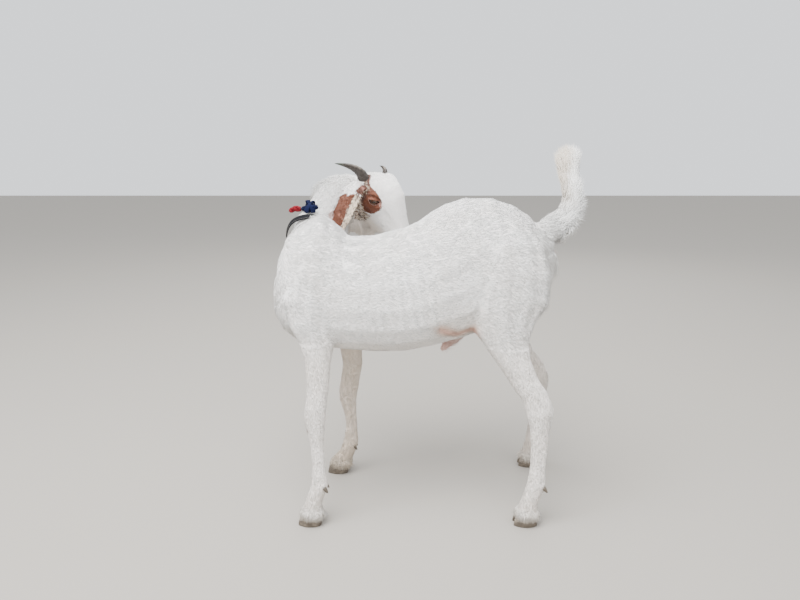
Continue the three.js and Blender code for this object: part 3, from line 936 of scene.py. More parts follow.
def lid(eye, tree):
    """Rings from the lid's margin out to the skin, under which the last ring sinks."""
    around, rings = 72, 15
    angle = np.linspace(0, 2 * math.pi, around, endpoint=False)
    a0, b0 = opening(angle)
    a1, b1 = LID_REACH[0] * np.cos(angle), LID_REACH[1] * np.sin(angle)
    radius = eye.radius / MM
    under = np.full(around, np.nan)
    for i in range(around):
        start = eye.solve(a1[i], b1[i], 40.0)
        hit = tree.ray_cast(Vector(start), Vector(-eye.look), 0.08)
        if hit[0]:
            under[i] = eye.plane(np.array(hit[0])[None])[2][0]
    under[under < -14] = np.nan
    good = np.nonzero(~np.isnan(under))[0]
    under = np.interp(np.arange(around), good, under[good], period=around)
    layers, share = [], []
    for k in range(rings):
        t = k / (rings - 1)
        w = t**1.35
        a = a0 * (1 - w) + a1 * w
        b = b0 * (1 - w) + b1 * w
        upper = np.maximum(np.sin(angle), 0)
        lift = 0.2 + 1.5 * smooth_step(t, 0, 0.09)
        lift += 0.9 * upper * bell(t - 0.22, 0.12) - 1.1 * upper * bell(t - 0.42, 0.07)
        lift -= 0.7 * (1 - upper) * bell(t - 0.36, 0.06)
        on_ball = ball_height(a, b, radius + lift)
        on_skin = under - 1.2 * smooth_step(t, 0.75, 1.0) + 0.6 * bell(t - 0.7, 0.2)
        blend = smooth_step(t, 0.12, 0.85)
        layers.append(eye.solve(a, b, on_ball * (1 - blend) + on_skin * blend))
        share.append(np.full(around, t))
    grid = np.arange(rings * around).reshape(rings, around)
    turn = np.roll(grid, -1, 1)
    quads = np.stack([grid[:-1], turn[:-1], turn[1:], grid[1:]], -1).reshape(-1, 4)
    faces = np.concatenate([quads[:, [0, 1, 2]], quads[:, [0, 2, 3]]])
    points = np.concatenate(layers)
    middle = normals_at(points, faces).mean(0)
    if middle @ eye.look < 0:
        faces = faces[:, ::-1]
    share = np.concatenate(share)
    rim = 1 - smooth_step(share, 0.05, 0.13)
    # Bare pink skin edges the lower lid, and runs down from the inner corner.
    a, b, _ = eye.plane(points)
    corner = bell(np.hypot(a - 15.5, (b + 1.5) * 1.2), 6.5)
    lower = bell(share - 0.14, 0.09) * smooth_step(-b, -1, 5)
    duct = bell(polyline_distance(np.stack([a, b, 0 * a], 1), [(16, -2, 0), (23, -12, 0)])[0], 3.4)
    return points, faces, rim, np.clip(0.9 * corner + 0.75 * lower + 0.8 * duct, 0, 1) * (1 - rim)


def clear_eye(flesh, eye):
    """Sinks the skin under the lids and opens it over the ball."""
    points = flesh.points
    a, b, h = eye.plane(points)
    radius = eye.radius / MM
    reach = np.hypot(a / LID_REACH[0], b / LID_REACH[1])
    limit = ball_height(a, b, radius) - 2.0
    limit = np.where(np.hypot(a, b) > 0.9 * radius, limit - 1.0, limit)
    inside = smooth_step(0.9 - reach, 0, 0.25) * (h > -4) * (flesh.face > 0.5)
    drop = np.maximum(h - limit, 0) * inside
    return points - (drop * MM)[:, None] * eye.look


def eyeball(eye):
    """A ball with a domed cornea, and the marks that its material reads."""
    rings, around = 40, 56
    radius = eye.radius
    angle = np.linspace(0.02, math.pi - 0.02, rings)
    turn = np.linspace(0, 2 * math.pi, around, endpoint=False)
    swell = 1 + 0.055 * smooth_step(np.cos(angle), 0.72, 0.86)
    along = np.cos(angle) * radius * swell
    wide = np.sin(angle) * radius
    a = wide[:, None] * np.cos(turn)[None]
    b = wide[:, None] * np.sin(turn)[None]
    h = np.repeat(along[:, None], around, 1)
    rings_at = eye.solve(a / MM, b / MM, h / MM)
    points, faces = stitch(rings_at)
    across, up, _ = eye.plane(points)
    flat = eye.radius / MM
    return points, outward(points - eye.centre, faces), across / flat, up / flat


# ---------------------------------------------------------------- marks of the coat


def inside_outline(u, v, outline):
    """Distance in millimetres to an outline in the plane, positive inside it."""
    outline = np.asarray(outline, float)
    ends = np.roll(outline, -1, 0)
    gap = np.full(len(u), 1e9)
    inside = np.zeros(len(u), bool)
    for (ax, ay), (bx, by) in zip(outline, ends):
        dx, dy = bx - ax, by - ay
        t = np.clip(((u - ax) * dx + (v - ay) * dy) / (dx * dx + dy * dy), 0, 1)
        gap = np.minimum(gap, np.hypot(u - ax - t * dx, v - ay - t * dy))
        crosses = (ay > v) != (by > v)
        inside ^= crosses & (u < ax + (v - ay) * dx / (by - ay + 1e-12))
    return np.where(inside, gap, -gap)


# The brown patch round the eye and behind it, along the face and out of the forehead.
EYE_PATCH = [(-76, 16), (-64, 28), (-48, 30), (-34, 26), (-24, 30), (-14, 34), (-3, 33), (9, 30)]
EYE_PATCH += [(17, 24), (24, 16), (28, 4), (25, -12), (18, -28), (4, -36), (-10, -31), (-25, -22)]
EYE_PATCH += [(-40, -6), (-60, -4)]
PEPPER = [(-70, 22), (-30, 24), (-20, 8), (-14, -22), (6, -34), (24, -30), (22, -66), (2, -72)]
PEPPER += [(-24, -50), (-50, -24), (-74, -6)]
MARKS = ("chestnut", "speckle", "fleck", "pink", "soil_and_shade", "shade_at_roots")
# The bare fold between flank and thigh.
FLANK_FOLD = [(88, -102, 462), (126, -80, 446), (166, -82, 462)]


def marks(points, part):
    """The coat's marks at each place, each from 0 to 1. Skin and tufts both take theirs here."""
    x, y, z = to_head(points).T
    p = (points - STANCE) / MM
    out = {name: np.zeros(len(points)) for name in MARKS}
    head = smooth_step(part["head"] + 0.8 * part["neck"] * (x > -100), 0.3, 0.7)
    head = head * smooth_step(86 - np.abs(y), 0, 16)
    side = smooth_step(np.abs(y) + 14 * bell(np.hypot(x + 52, z - 12), 24), 12, 24) * head
    far = np.where(y > 0, 9.0, 0.0)
    patch = inside_outline(x, z, EYE_PATCH) - far
    out["chestnut"] = smooth_step(patch, -5, 5) * side
    # Painted shade at the root of the horn, darkening the brown there.
    horn_root = bell(np.hypot(x + 56, z - 14), 17)
    out["shade_at_roots"] = np.clip(1.1 * horn_root + 0.5 * bell(np.hypot(x + 38, z - 8), 18), 0, 1)
    out["shade_at_roots"] = out["shade_at_roots"] * out["chestnut"]
    peppered = smooth_step(inside_outline(x, z, PEPPER), -6, 5) * side
    out["speckle"] = peppered * (1.0 - 0.4 * smooth_step(x, -30, 0) * smooth_step(z, -22, -8))
    out["fleck"] = peppered * (0.75 - 0.5 * smooth_step(x, -34, -14) * smooth_step(z, -26, -10))
    # Painted shade in cream on the underside of cheek and throat; muzzle and lips are pinkish.
    cheek = smooth_step(-z, 24, 52) * smooth_step(105 - x, 0, 50)
    out["soil_and_shade"] = 0.5 * cheek * head
    muzzle = smooth_step(x, 108, 122) * smooth_step(-z, -2, 10) * head
    out["pink"] = 0.5 * muzzle
    for name in EAR_LINES:
        along, across, _ = ear_place(points, name)
        ear = smooth_step(part[name], 0.25, 0.6)
        back = ear_side(points, name)
        for key in MARKS:
            out[key] = out[key] * (1 - ear)
        rough = 0.05 * ripple(points, 0.02, 3)
        brown = smooth_step(along + rough, 0.33, 0.40) * smooth_step(across + rough, -0.92, -0.70)
        root = smooth_step(across + 2 * rough, 0.05, 0.35) * (1 - smooth_step(along, 0.26, 0.36))
        out["chestnut"] += ear * brown * (1 - 0.75 * smooth_step(-back, 0.0, 0.8))
        out["chestnut"] = np.maximum(out["chestnut"], ear * root)
        # Painted shade at the ear's root.
        out["shade_at_roots"] += 0.7 * ear * root
        front = smooth_step(across, 0.15, 0.55) * smooth_step(along, 0.25, 0.40)
        out["fleck"] += ear * (0.25 * brown + 0.85 * front)
        foot = smooth_step(along, 0.1, 0.3) * (1 - brown)
        out["speckle"] += ear * (0.25 * brown + 0.9 * front + 0.42 * foot)
        tip = smooth_step(along, 0.82, 1.0) + smooth_step(-across, 0.8, 1.1)
        out["pink"] += ear * np.clip(0.35 * tip + 0.6 * smooth_step(-back, 0.0, 0.8), 0, 0.7)
    # Flank fold, sheath and groin are bare and pink.
    fold = bell(polyline_distance(p, FLANK_FOLD)[0], 13)
    groin = bell(polyline_distance(p, [(150, 40, 440), (190, 30, 470), (230, 20, 520)])[0], 26)
    sheath = bell(polyline_distance(p, [(98, 0, 388), (112, 0, 398), (140, 0, 416)])[0], 19)
    seat = bell(polyline_distance(p, [(336, 0, 655), (343, 0, 620)])[0], 12)
    bare = np.clip(0.7 * fold + 0.4 * groin + 0.75 * sheath + 0.6 * seat, 0, 0.8)
    # Painted shade in cream in the flank fold and over the flank before the stifle.
    flank = bell(polyline_distance(p, [(100, -105, 455), (150, -92, 480)])[0], 42)
    out["soil_and_shade"] = np.maximum(out["soil_and_shade"], (0.9 * fold + 0.3 * flank) * part["trunk"])
    out["pink"] = np.maximum(out["pink"], bare * part["trunk"] + 0.7 * part["sheath"])
    # Painted shade: the belly turns cream from below, and the far fore and hind legs are shaded, the fore one
    # more; the lower legs turn cream towards the feet.
    belly = smooth_step(500 - p[:, 2], 0, 130) * 0.26
    shank = smooth_step(150 - p[:, 2], 0, 120) * 0.22
    far_fore_shade = smooth_step(430 - p[:, 2], 0, 60) * part["leg_fore_right"] * 0.55
    far_hind_shade = smooth_step(400 - p[:, 2], 0, 80) * part["leg_hind_right"] * 0.22
    out["soil_and_shade"] = np.clip(out["soil_and_shade"] + belly + shank + far_fore_shade + far_hind_shade, 0, 1)
    knee = bell(np.linalg.norm((p - (-214, -112, 233)) / (1, 1, 0.6), axis=1), 8)
    out["chestnut"] = np.maximum(out["chestnut"], 0.7 * knee)
    # Painted shade in cream on the hollow front face of the tail.
    front = smooth_step(384 - p[:, 0], 0, 14) * smooth_step(p[:, 2], 690, 750)
    out["soil_and_shade"] = np.maximum(out["soil_and_shade"], 0.8 * part["tail"] * front)
    return out


def ear_side(points, name):
    """Which face of the ear a place is on: above 0 on the outer one."""
    places, face = EAR_LINES[name]
    path = line(places)
    centre = on_path(path, polyline_distance(points, path)[1])[0]
    bend = ear_bend(ear_place(points, name)[1]) * MM
    return (np.sum((points - centre) * unit(face), 1) + bend) / (2.0 * MM)


def put_marks(obj, places, part, copies, rim=None, pink=None):
    """Stores the marks; a tuft has several points for one place."""
    found = marks(places, part)
    if pink is not None:
        found["pink"] = np.maximum(found["pink"], pink)
        found["chestnut"] = found["chestnut"] * (1 - pink)
    for name, values in found.items():
        mark(obj, name, np.repeat(values, copies))
    mark(obj, "rim", np.zeros(len(places) * copies) if rim is None else rim)
    mark(obj, "root", np.repeat(places, copies, 0))


class GOAT_OT_skin(bpy.types.Operator):
    """Makes one skin over trunk, neck, head, ears, tail and legs, with the lids"""

    bl_idname = "goat.skin"
    bl_label = "Skin and lids"

    def execute(self, context):
        sizes, colours, _ = settings(context)
        mesh = drop_crumbs(joined_flesh(sizes))
        label_parts(mesh)
        self.shape_body(mesh, sizes)
        self.refine_head(mesh)
        flesh = Flesh(mesh)
        self.shape_face(flesh)
        lids = self.open_eyes(flesh)
        bpy.data.meshes.remove(mesh)
        points, faces = gather([(flesh.points, flesh.faces)] + [(p, f) for p, f, _, _ in lids])
        skin = new_mesh("skin", points, faces)
        spare = len(points) - len(flesh.points)
        share = {name: np.pad(values, (0, spare)) for name, values in flesh.part.items()}
        share["head"][len(flesh.points):] = 1.0
        for name, values in share.items():
            mark(skin, f"part_{name}", values)
        plain = np.zeros(len(flesh.points))
        rim = np.concatenate([plain] + [r for _, _, r, _ in lids])
        inner = np.concatenate([plain] + [i for _, _, _, i in lids])
        put_marks(skin, points, share, 1, rim, inner)
        coat_recipe("skin", colours, bare=True).wear(skin)
        settle(skin, FLESH)
        return {"FINISHED"}

    def shape_body(self, mesh, sizes):
        """Smooths the joined flesh, lays it under the coat and adds the forms of the body."""
        flesh = Flesh(mesh)
        rounds = 60 - 22 * flesh.neck - 34 * np.clip(flesh.legs, 0, 1) - 44 * flesh.face
        rounds = np.maximum(rounds - 54 * (flesh.ears + flesh.part["sheath"]), 5)
        # The dip behind the withers is one long curve.
        saddle = bell((flesh.stance[:, 0] + 120) / 70, 1.0) * smooth_step(flesh.stance[:, 2], 520, 600)
        rounds = rounds + 420 * saddle * smooth_step(flesh.part["trunk"], 0.7, 1.0)
        flesh.points = relax(flesh.points, flesh.edges, rounds)
        flesh.points = slim_tail(flesh, sizes.tail_core)
        thin = np.clip(flesh.face + flesh.ears + flesh.legs, 0, 1)
        depth = sizes.swell + sizes.coat_depth * (1 - 0.6 * thin)
        depth = depth * (1 - flesh.tail)
        flesh.points -= flesh.normals() * depth[:, None]
        body = np.clip(1 - flesh.face - flesh.ears - flesh.tail, 0, 1)
        push = (body_forms(flesh) + leg_details(flesh)) * body
        flesh.points += flesh.normals() * (push * MM)[:, None]
        flesh.points += leg_shifts(flesh) * MM
        store(mesh, flesh.points)

    def refine_head(self, mesh):
        """Finer faces on head and ears, and finer still on the muzzle and round the eyes."""
        flesh = Flesh(mesh)
        refine(mesh, (flesh.face > 0.2) | (flesh.ears > 0.2))
        flesh = Flesh(mesh)
        fine = np.where(flesh.face + flesh.ears > 0.3, 6.0, 0.0)
        flesh.points = relax(flesh.points, flesh.edges, fine)
        store(mesh, flesh.points)
        muzzle = (flesh.face > 0.5) & (flesh.head[:, 0] > 74)
        sockets = np.zeros(len(muzzle), bool)
        for eye in EYES:
            sockets |= np.linalg.norm(flesh.points - eye.centre, axis=1) < 0.031
        refine(mesh, muzzle | (sockets & (flesh.face > 0.5)))

    def shape_face(self, flesh):
        """Curls the ears and adds the forms of the face."""
        flesh.points = relax(flesh.points, flesh.edges, np.where(flesh.face > 0.5, 4.0, 0.0))
        flesh.points = curl_ears(flesh)
        push = face_forms(flesh.head) * flesh.face
        flesh.points += flesh.normals() * (push * MM)[:, None]

    def open_eyes(self, flesh):
        """Makes the lids over the face, then sinks the skin under them."""
        head_only = flesh.faces[(flesh.face > 0.5)[flesh.faces].all(1)]
        tree = BVHTree.FromPolygons(flesh.points.tolist(), head_only.tolist())
        lids = [lid(eye, tree) for eye in EYES]
        for eye in EYES:
            flesh.points = clear_eye(flesh, eye)
        return lids


class GOAT_OT_eyes(bpy.types.Operator):
    """Makes the two eyeballs with a level slit pupil"""

    bl_idname = "goat.eyes"
    bl_label = "Eyes"

    def execute(self, context):
        _, colours, _ = settings(context)
        recipe = eye_recipe(colours)
        for eye in EYES:
            points, faces, across, up = eyeball(eye)
            ball = new_mesh(f"ball_of_{eye.name}", points, faces)
            mark(ball, "across", across)
            mark(ball, "up", up)
            recipe.wear(ball)
            settle(ball, [eye.name])
        return {"FINISHED"}


# ---------------------------------------------------------------- horns and claws


# Control points of each horn in the head's millimetres, from its root, and half its width.
HORNS = {
    "horn_right": ([(-58, -28, 8), (-75, -31, 28), (-98, -50, 32), (-132, -74, 3)], 15.5),
    "horn_left": ([(-42, 25, 26), (-48, 31, 42), (-60, 35, 40), (-72, 37, 28)], 10.0),
}


def horn_shape(controls, half):
    """Rings of one horn in the head's millimetres, ridged towards its base."""
    run = np.linspace(0, 1, 96)
    t = run[:, None]
    a, b, c, d = np.asarray(controls, float)
    centre = a * (1 - t) ** 3 + 3 * b * t * (1 - t) ** 2 + 3 * c * t * t * (1 - t) + d * t**3
    slim = half * (1 - 0.2 * run - 0.74 * run * run) * (1 - 0.8 * smooth_step(run, 0.97, 1.0))
    ridges = 1 + 0.035 * np.sin(run**0.8 * 52) * (1 - smooth_step(run, 0.5, 0.9))
    ridges += 0.018 * np.sin(run * 141 + 1) * (1 - smooth_step(run, 0.3, 0.7))
    keel = (0.4, -0.35 * np.sign(controls[0][1]), 0.8)
    ups = np.repeat([keel], len(run), 0)
    rings = tube(centre, ups, 0.62 * slim * ridges, slim * ridges, around=36, shape=0.92)
    return rings, run


class GOAT_OT_horns(bpy.types.Operator):
    """Makes the long right horn and the short left one"""

    bl_idname = "goat.horns"
    bl_label = "Horns"

    def execute(self, context):
        _, colours, _ = settings(context)
        recipe = horn_recipe(colours)
        for name, (controls, half) in HORNS.items():
            rings, run = horn_shape(controls, half)
            points, faces = stitch(from_head(rings))
            faces = outward(points - points.mean(0), faces)
            horn = new_mesh(f"ridged_{name}", points, faces)
            along = np.concatenate([np.repeat(run, rings.shape[1]), [0, 1]])
            mark(horn, "along", along)
            normal = normals_at(points, faces)
            # Painted light: how far each point faces up, for the pale band on the horn's top.
            mark(horn, "upper", np.clip(normal[:, 2] * 0.8 + 0.3, 0, 1))
            recipe.wear(horn)
            settle(horn, [name])
        return {"FINISHED"}


def claw_shape(foot, way):
    """One claw: pointed at the toe, flat on its inner side, swollen at the coronet."""
    levels, around = 22, 44
    z = np.linspace(0, 30, levels)
    at = [0, 12, 26, 30]
    toe = np.interp(z, at, [31, 29, 23.5, 19])
    heel = np.interp(z, at, [23, 24, 23, 18])
    wide = np.interp(z, at, [19.5, 20, 19, 14])
    bevel = 1 - 0.07 * smooth_step(1.8 - z, 0, 1.8)
    rings = 1 + 0.010 * np.sin(z * 2.1) + 0.03 * bell(z - 23, 2.5)
    angle = np.linspace(0, 2 * math.pi, around, endpoint=False)
    c, s = np.cos(angle), np.sin(angle)
    taper = np.where(c < 0, 1 - 0.42 * c * c, 1 - 0.12 * c * c)
    size = (bevel * rings)[:, None]
    x = np.where(c < 0, toe[:, None], heel[:, None]) * np.sign(c) * np.abs(c) ** 0.92 * size
    half = 0.5 * wide[:, None] * taper[None]
    splay = 2.6 * np.clip(-x / 30, 0, 1) ** 1.5 * (1 - z / 30)[:, None]
    y = way * (s[None] * half * size + half + 1.6 + splay)
    ring = np.stack([x + foot[0], y + foot[1], np.repeat(z[:, None], around, 1)], -1)
    points, faces = stitch(STANCE + ring * MM)
    level = np.concatenate([np.repeat(z / 30, around), [0, 1]])
    return points, outward(points - points.mean(0), faces), level


def dewclaw_shape(foot, dew, way):
    """A small horny cone behind the pastern, pointing down and back."""
    x, z = dew
    steps = np.linspace(0, 1, 14)
    cone = np.sqrt(np.clip(1 - (2 * steps - 0.62) ** 2 / 1.92, 0, 1)) * (1 - 0.45 * steps)
    lean = np.array([9.0, way * 1.5, -12.0])
    start = np.array([x - 4, foot[1] + way * 11.0, z + 6])
    centre = start + steps[:, None] * lean
    wide = 5.4 * cone
    rings = tube(centre, np.repeat([[1.0, 0, 0.4]], 14, 0), wide, wide * 0.95, around=20)
    points, faces = stitch(STANCE + rings * MM)
    return points, outward(points - points.mean(0), faces), np.full(len(points), 0.3)


class GOAT_OT_claws(bpy.types.Operator):
    """Makes the claws and the dewclaws of all four feet"""

    bl_idname = "goat.claws"
    bl_label = "Claws"

    def execute(self, context):
        _, colours, _ = settings(context)
        recipe = claw_recipe(colours)
        for kind in ("claw", "dewclaw"):
            shapes, nodes, black = [], [], []
            for leg, (foot, dew) in FEET.items():
                for way in (-1, 1):
                    outer = way * foot[1] > 0
                    nodes.append(f"{kind}_{leg}_{'outer' if outer else 'inner'}")
                    shape = claw_shape(foot, way) if kind == "claw" else dewclaw_shape(foot, dew, way)
                    shapes.append(shape)
                    ahead = smooth_step(foot[0] * MM + STANCE[0] - shape[0][:, 0], -0.002, 0.010)
                    dark = 1.0 if kind == "dewclaw" else (leg == "fore_right") * ahead
                    black.append(0.9 * dark * np.ones(len(shape[0])))
            points, faces = gather([(p, f) for p, f, _ in shapes])
            obj = new_mesh(f"{kind}s", points, faces)
            mark(obj, "level", np.concatenate([level for _, _, level in shapes]))
            mark(obj, "black", np.concatenate(black))
            recipe.wear(obj)
            settle(obj, nodes)
        return {"FINISHED"}


# ---------------------------------------------------------------- the collar

STRAP_AT = spot(-207.3, 58.5, 640.6)
STRAP_WAY = unit([-0.10, 0.83, 0.55])
STRAP_UP = unit(np.array([-0.29, 0.1, 1.0]) - STRAP_WAY * STRAP_WAY.dot([-0.29, 0.1, 1.0]))
STRAP_SIDE = np.cross(STRAP_WAY, STRAP_UP)
# Half width of the strap's loop, and its reach above and below the middle, in millimetres.
STRAP_HALF = (58.0, 74.0, 112.0)
# The strap waves a little along the neck.
STRAP_WAVE, STRAP_WAVES = 0.0012, 7
STITCH_INSET = 0.0022


def strap_circle(angle, out=0.0):
    """A point on the strap's middle line, out that far from it."""
    c, s = np.cos(angle), np.sin(angle)
    high = np.where(s > 0, STRAP_HALF[1], STRAP_HALF[2]) + out
    side = (STRAP_HALF[0] + out) * c
    return STRAP_AT + MM * (side[:, None] * STRAP_SIDE + (high * s)[:, None] * STRAP_UP)


# Loops of the knot: direction round it, how far out they stand, and half their width.
LOOPS = [(0.3, 0.017, 0.0065), (1.5, 0.012, 0.0060), (2.6, 0.017, 0.0070)]
LOOPS += [(3.6, 0.018, 0.0060), (4.7, 0.013, 0.0065), (5.5, 0.016, 0.0055)]


def stitch_nodes(material):
    """A node group that lays short threads end to end along the lines it is given."""
    group = bpy.data.node_groups.new("stitches", "GeometryNodeTree")
    group.interface.new_socket("Geometry", in_out="INPUT", socket_type="NodeSocketGeometry")
    for name in ("Spacing", "Length", "Thickness"):
        group.interface.new_socket(name, in_out="INPUT", socket_type="NodeSocketFloat")
    group.interface.new_socket("Geometry", in_out="OUTPUT", socket_type="NodeSocketGeometry")

    def node(kind, facts=None, values=None):
        made = group.nodes.new(kind)
        for key, value in (facts or {}).items():
            setattr(made, key, value)
        for key, value in (values or {}).items():
            if isinstance(value, bpy.types.NodeSocket):
                group.links.new(value, made.inputs[key])
            else:
                made.inputs[key].default_value = value
        return made

    start = node("NodeGroupInput").outputs
    curve = node("GeometryNodeMeshToCurve", values={"Mesh": start["Geometry"]})
    spots = node(
        "GeometryNodeCurveToPoints",
        {"mode": "LENGTH"},
        {"Curve": curve.outputs[0], "Length": start["Spacing"]},
    )
    ball = node("GeometryNodeMeshUVSphere", values={"Segments": 8, "Rings": 6, "Radius": 1.0})
    size = node(
        "ShaderNodeCombineXYZ",
        values={"X": start["Thickness"], "Y": start["Thickness"], "Z": start["Length"]},
    )
    placed = node(
        "GeometryNodeInstanceOnPoints",
        values={
            "Points": spots.outputs["Points"],
            "Instance": ball.outputs["Mesh"],
            "Rotation": spots.outputs["Rotation"],
            "Scale": size.outputs[0],
        },
    )
    real = node("GeometryNodeRealizeInstances", values={"Geometry": placed.outputs[0]})
    dressed = node(
        "GeometryNodeSetMaterial",
        values={"Geometry": real.outputs[0], "Material": material},
    )
    end = node("NodeGroupOutput")
    group.links.new(dressed.outputs[0], end.inputs[0])
    return group


class GOAT_OT_collar(bpy.types.Operator):
    """Makes the strap with its stitches, the cloth knot and the ribbon"""

    bl_idname = "goat.collar"
    bl_label = "Collar"

    def execute(self, context):
        sizes, colours, _ = settings(context)
        strap = self.strap(sizes)
        strap_recipe(colours).wear(strap)
        settle(strap, ["collar_strap"])
        self.stitches(sizes)
        knot = self.cloth("knot_of_cloth", "collar_knot", 0.0016, 5, self.loops())
        cloth_recipe("knot_cloth", colours.knot, colours.knot_faded).wear(knot)
        settle(knot, ["collar_knot"])
        ribbon = self.cloth("red_ribbon", "collar_ribbon", 0.0012, 9)
        cloth_recipe("ribbon", colours.ribbon, colours.ribbon_faded).wear(ribbon)
        settle(ribbon, ["collar_ribbon"])
        return {"FINISHED"}

    def strap(self, sizes):
        """A rounded flat section swept round the neck."""
        around, section = 160, 16
        angle = np.linspace(0, 2 * math.pi, around, endpoint=False)
        turn = np.linspace(0, 2 * math.pi, section, endpoint=False)
        wide = 0.5 * sizes.strap_width * np.sign(np.cos(turn)) * np.abs(np.cos(turn)) ** 0.3
        thick = 0.5 * sizes.strap_thick * np.sign(np.sin(turn)) * np.abs(np.sin(turn)) ** 0.5
        middle = strap_circle(angle)
        out = unit(middle - STRAP_AT)
        rings = middle[:, None] + wide[None, :, None] * STRAP_WAY + thick[None, :, None] * out[:, None]
        rings = rings + STRAP_WAVE * np.sin(angle * STRAP_WAVES)[:, None, None] * STRAP_WAY
        grid = np.arange(around * section).reshape(around, section)
        next_ring = np.roll(grid, -1, 0)
        quads = np.stack([grid, np.roll(grid, -1, 1), np.roll(next_ring, -1, 1), next_ring], -1)
        quads = quads.reshape(-1, 4)
        points = rings.reshape(-1, 3)
        faces = np.concatenate([quads[:, [0, 1, 2]], quads[:, [0, 2, 3]]])
        return new_mesh("strap_round_neck", points, outward(points - STRAP_AT, faces))

    def stitches(self, sizes):
        """Thread along both edges of the strap, laid by a node group that takes the edge lines."""
        around = 200
        angle = np.linspace(0, 2 * math.pi, around, endpoint=False)
        middle = strap_circle(angle)
        out = unit(middle - STRAP_AT)
        wave = STRAP_WAVE * np.sin(angle * STRAP_WAVES)[:, None]
        inner = STITCH_INSET - 0.5 * sizes.strap_width
        lines = [
            middle + out * (0.5 * sizes.strap_thick + 0.0001) + (wave + side) * STRAP_WAY
            for side in (inner, -inner)
        ]
        turn = np.arange(around)
        edges = np.stack([turn, (turn + 1) % around], 1)
        mesh = bpy.data.meshes.new("edge_lines")
        mesh.from_pydata(np.concatenate(lines).tolist(), np.concatenate([edges, edges + around]).tolist(), [])
        obj = bpy.data.objects.new("edge_lines", mesh)
        bpy.context.scene.collection.objects.link(obj)
        thread = Recipe("thread", roughness=0.7)
        weave = thread.noise(thread.place(), 1500, 2)
        thread.set(base_color=thread.mix(weave, (0.10, 0.095, 0.085, 1.0), (0.20, 0.19, 0.17, 1.0)))
        group = stitch_nodes(thread.material)
        modifier = obj.modifiers.new("stitches", "NODES")
        modifier.node_group = group
        names = {item.name: item.identifier for item in group.interface.items_tree}
        modifier[names["Spacing"]] = 0.0052
        modifier[names["Length"]] = 0.0017
        modifier[names["Thickness"]] = 0.00045
        graph = bpy.context.evaluated_depsgraph_get()
        made = bpy.data.meshes.new_from_object(obj.evaluated_get(graph))
        bpy.data.objects.remove(obj)
        result = bpy.data.objects.new("strap_stitches", made)
        bpy.context.scene.collection.objects.link(result)
        settle(result)

    def loops(self):
        """The folded ends of the cloth, standing round the knot like a rosette."""
        low, high = (np.array(corner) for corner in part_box("collar_knot"))
        centre = 0.5 * (low + high)
        out = unit(centre - STRAP_AT)
        first = STRAP_WAY
        second = np.cross(out, first)
        steps = np.linspace(0, 1, 26)
        parts = []
        for turn, reach, wide in LOOPS:
            way = math.cos(turn) * first + math.sin(turn) * second
            across = np.cross(out, way)
            path = centre + np.outer(reach * np.sin(steps * math.pi) ** 0.8, way)
            path = path + np.outer(0.009 - 0.015 * steps + 0.003 * np.sin(steps * 2 * math.pi), out)
            path = path + np.outer(0.002 * np.sin(steps * 5 + turn * 3), across)
            tangent = np.gradient(path, axis=0)
            half = wide * (0.45 + 0.55 * np.sin(steps * math.pi))
            rings = tube(path, np.cross(across, tangent), half, np.full(26, 0.0011), around=20)
            points, faces = stitch(rings)
            parts.append((points, outward(points - points.mean(0), faces)))
        return parts

    def cloth(self, name, node, grain, seed, extra=()):
        """Folded cloth over the lumps of a solid, with pieces of its own that stand on it."""
        bm = bmesh.new()
        bm.from_mesh(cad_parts[node].data)
        bmesh.ops.remove_doubles(bm, verts=bm.verts, dist=1e-5)
        dense = remeshed(bm, grain)
        points, edges, faces = points_of(dense), edges_of(dense), triangles_of(dense)
        points = relax(points, edges, np.full(len(points), 8.0))
        normal = normals_at(points, faces)
        warp = ripple(points, 0.016, seed) * 1.4
        folds = np.sin((points @ unit([0.5, 0.7, 0.6])) / 0.0052 * 2 * math.pi / 2 + warp * 2.2)
        folds = 1 - np.abs(folds)
        points = points + normal * ((0.9 - 2.6 * folds**3) * MM)[:, None]
        bpy.data.meshes.remove(dense)
        # Painted shade in the grooves of the folds, for the cloth's material to darken.
        fold = smooth_step(folds, 0.5, 0.9) * 0.9
        if extra:
            points = points - normal * 0.002
        count = len(points)
        points, faces = gather([(points, faces), *extra])
        result = new_mesh(name, points, faces)
        mark(result, "fold", np.pad(fold, (0, len(points) - count)))
        return result


# ---------------------------------------------------------------- the coat


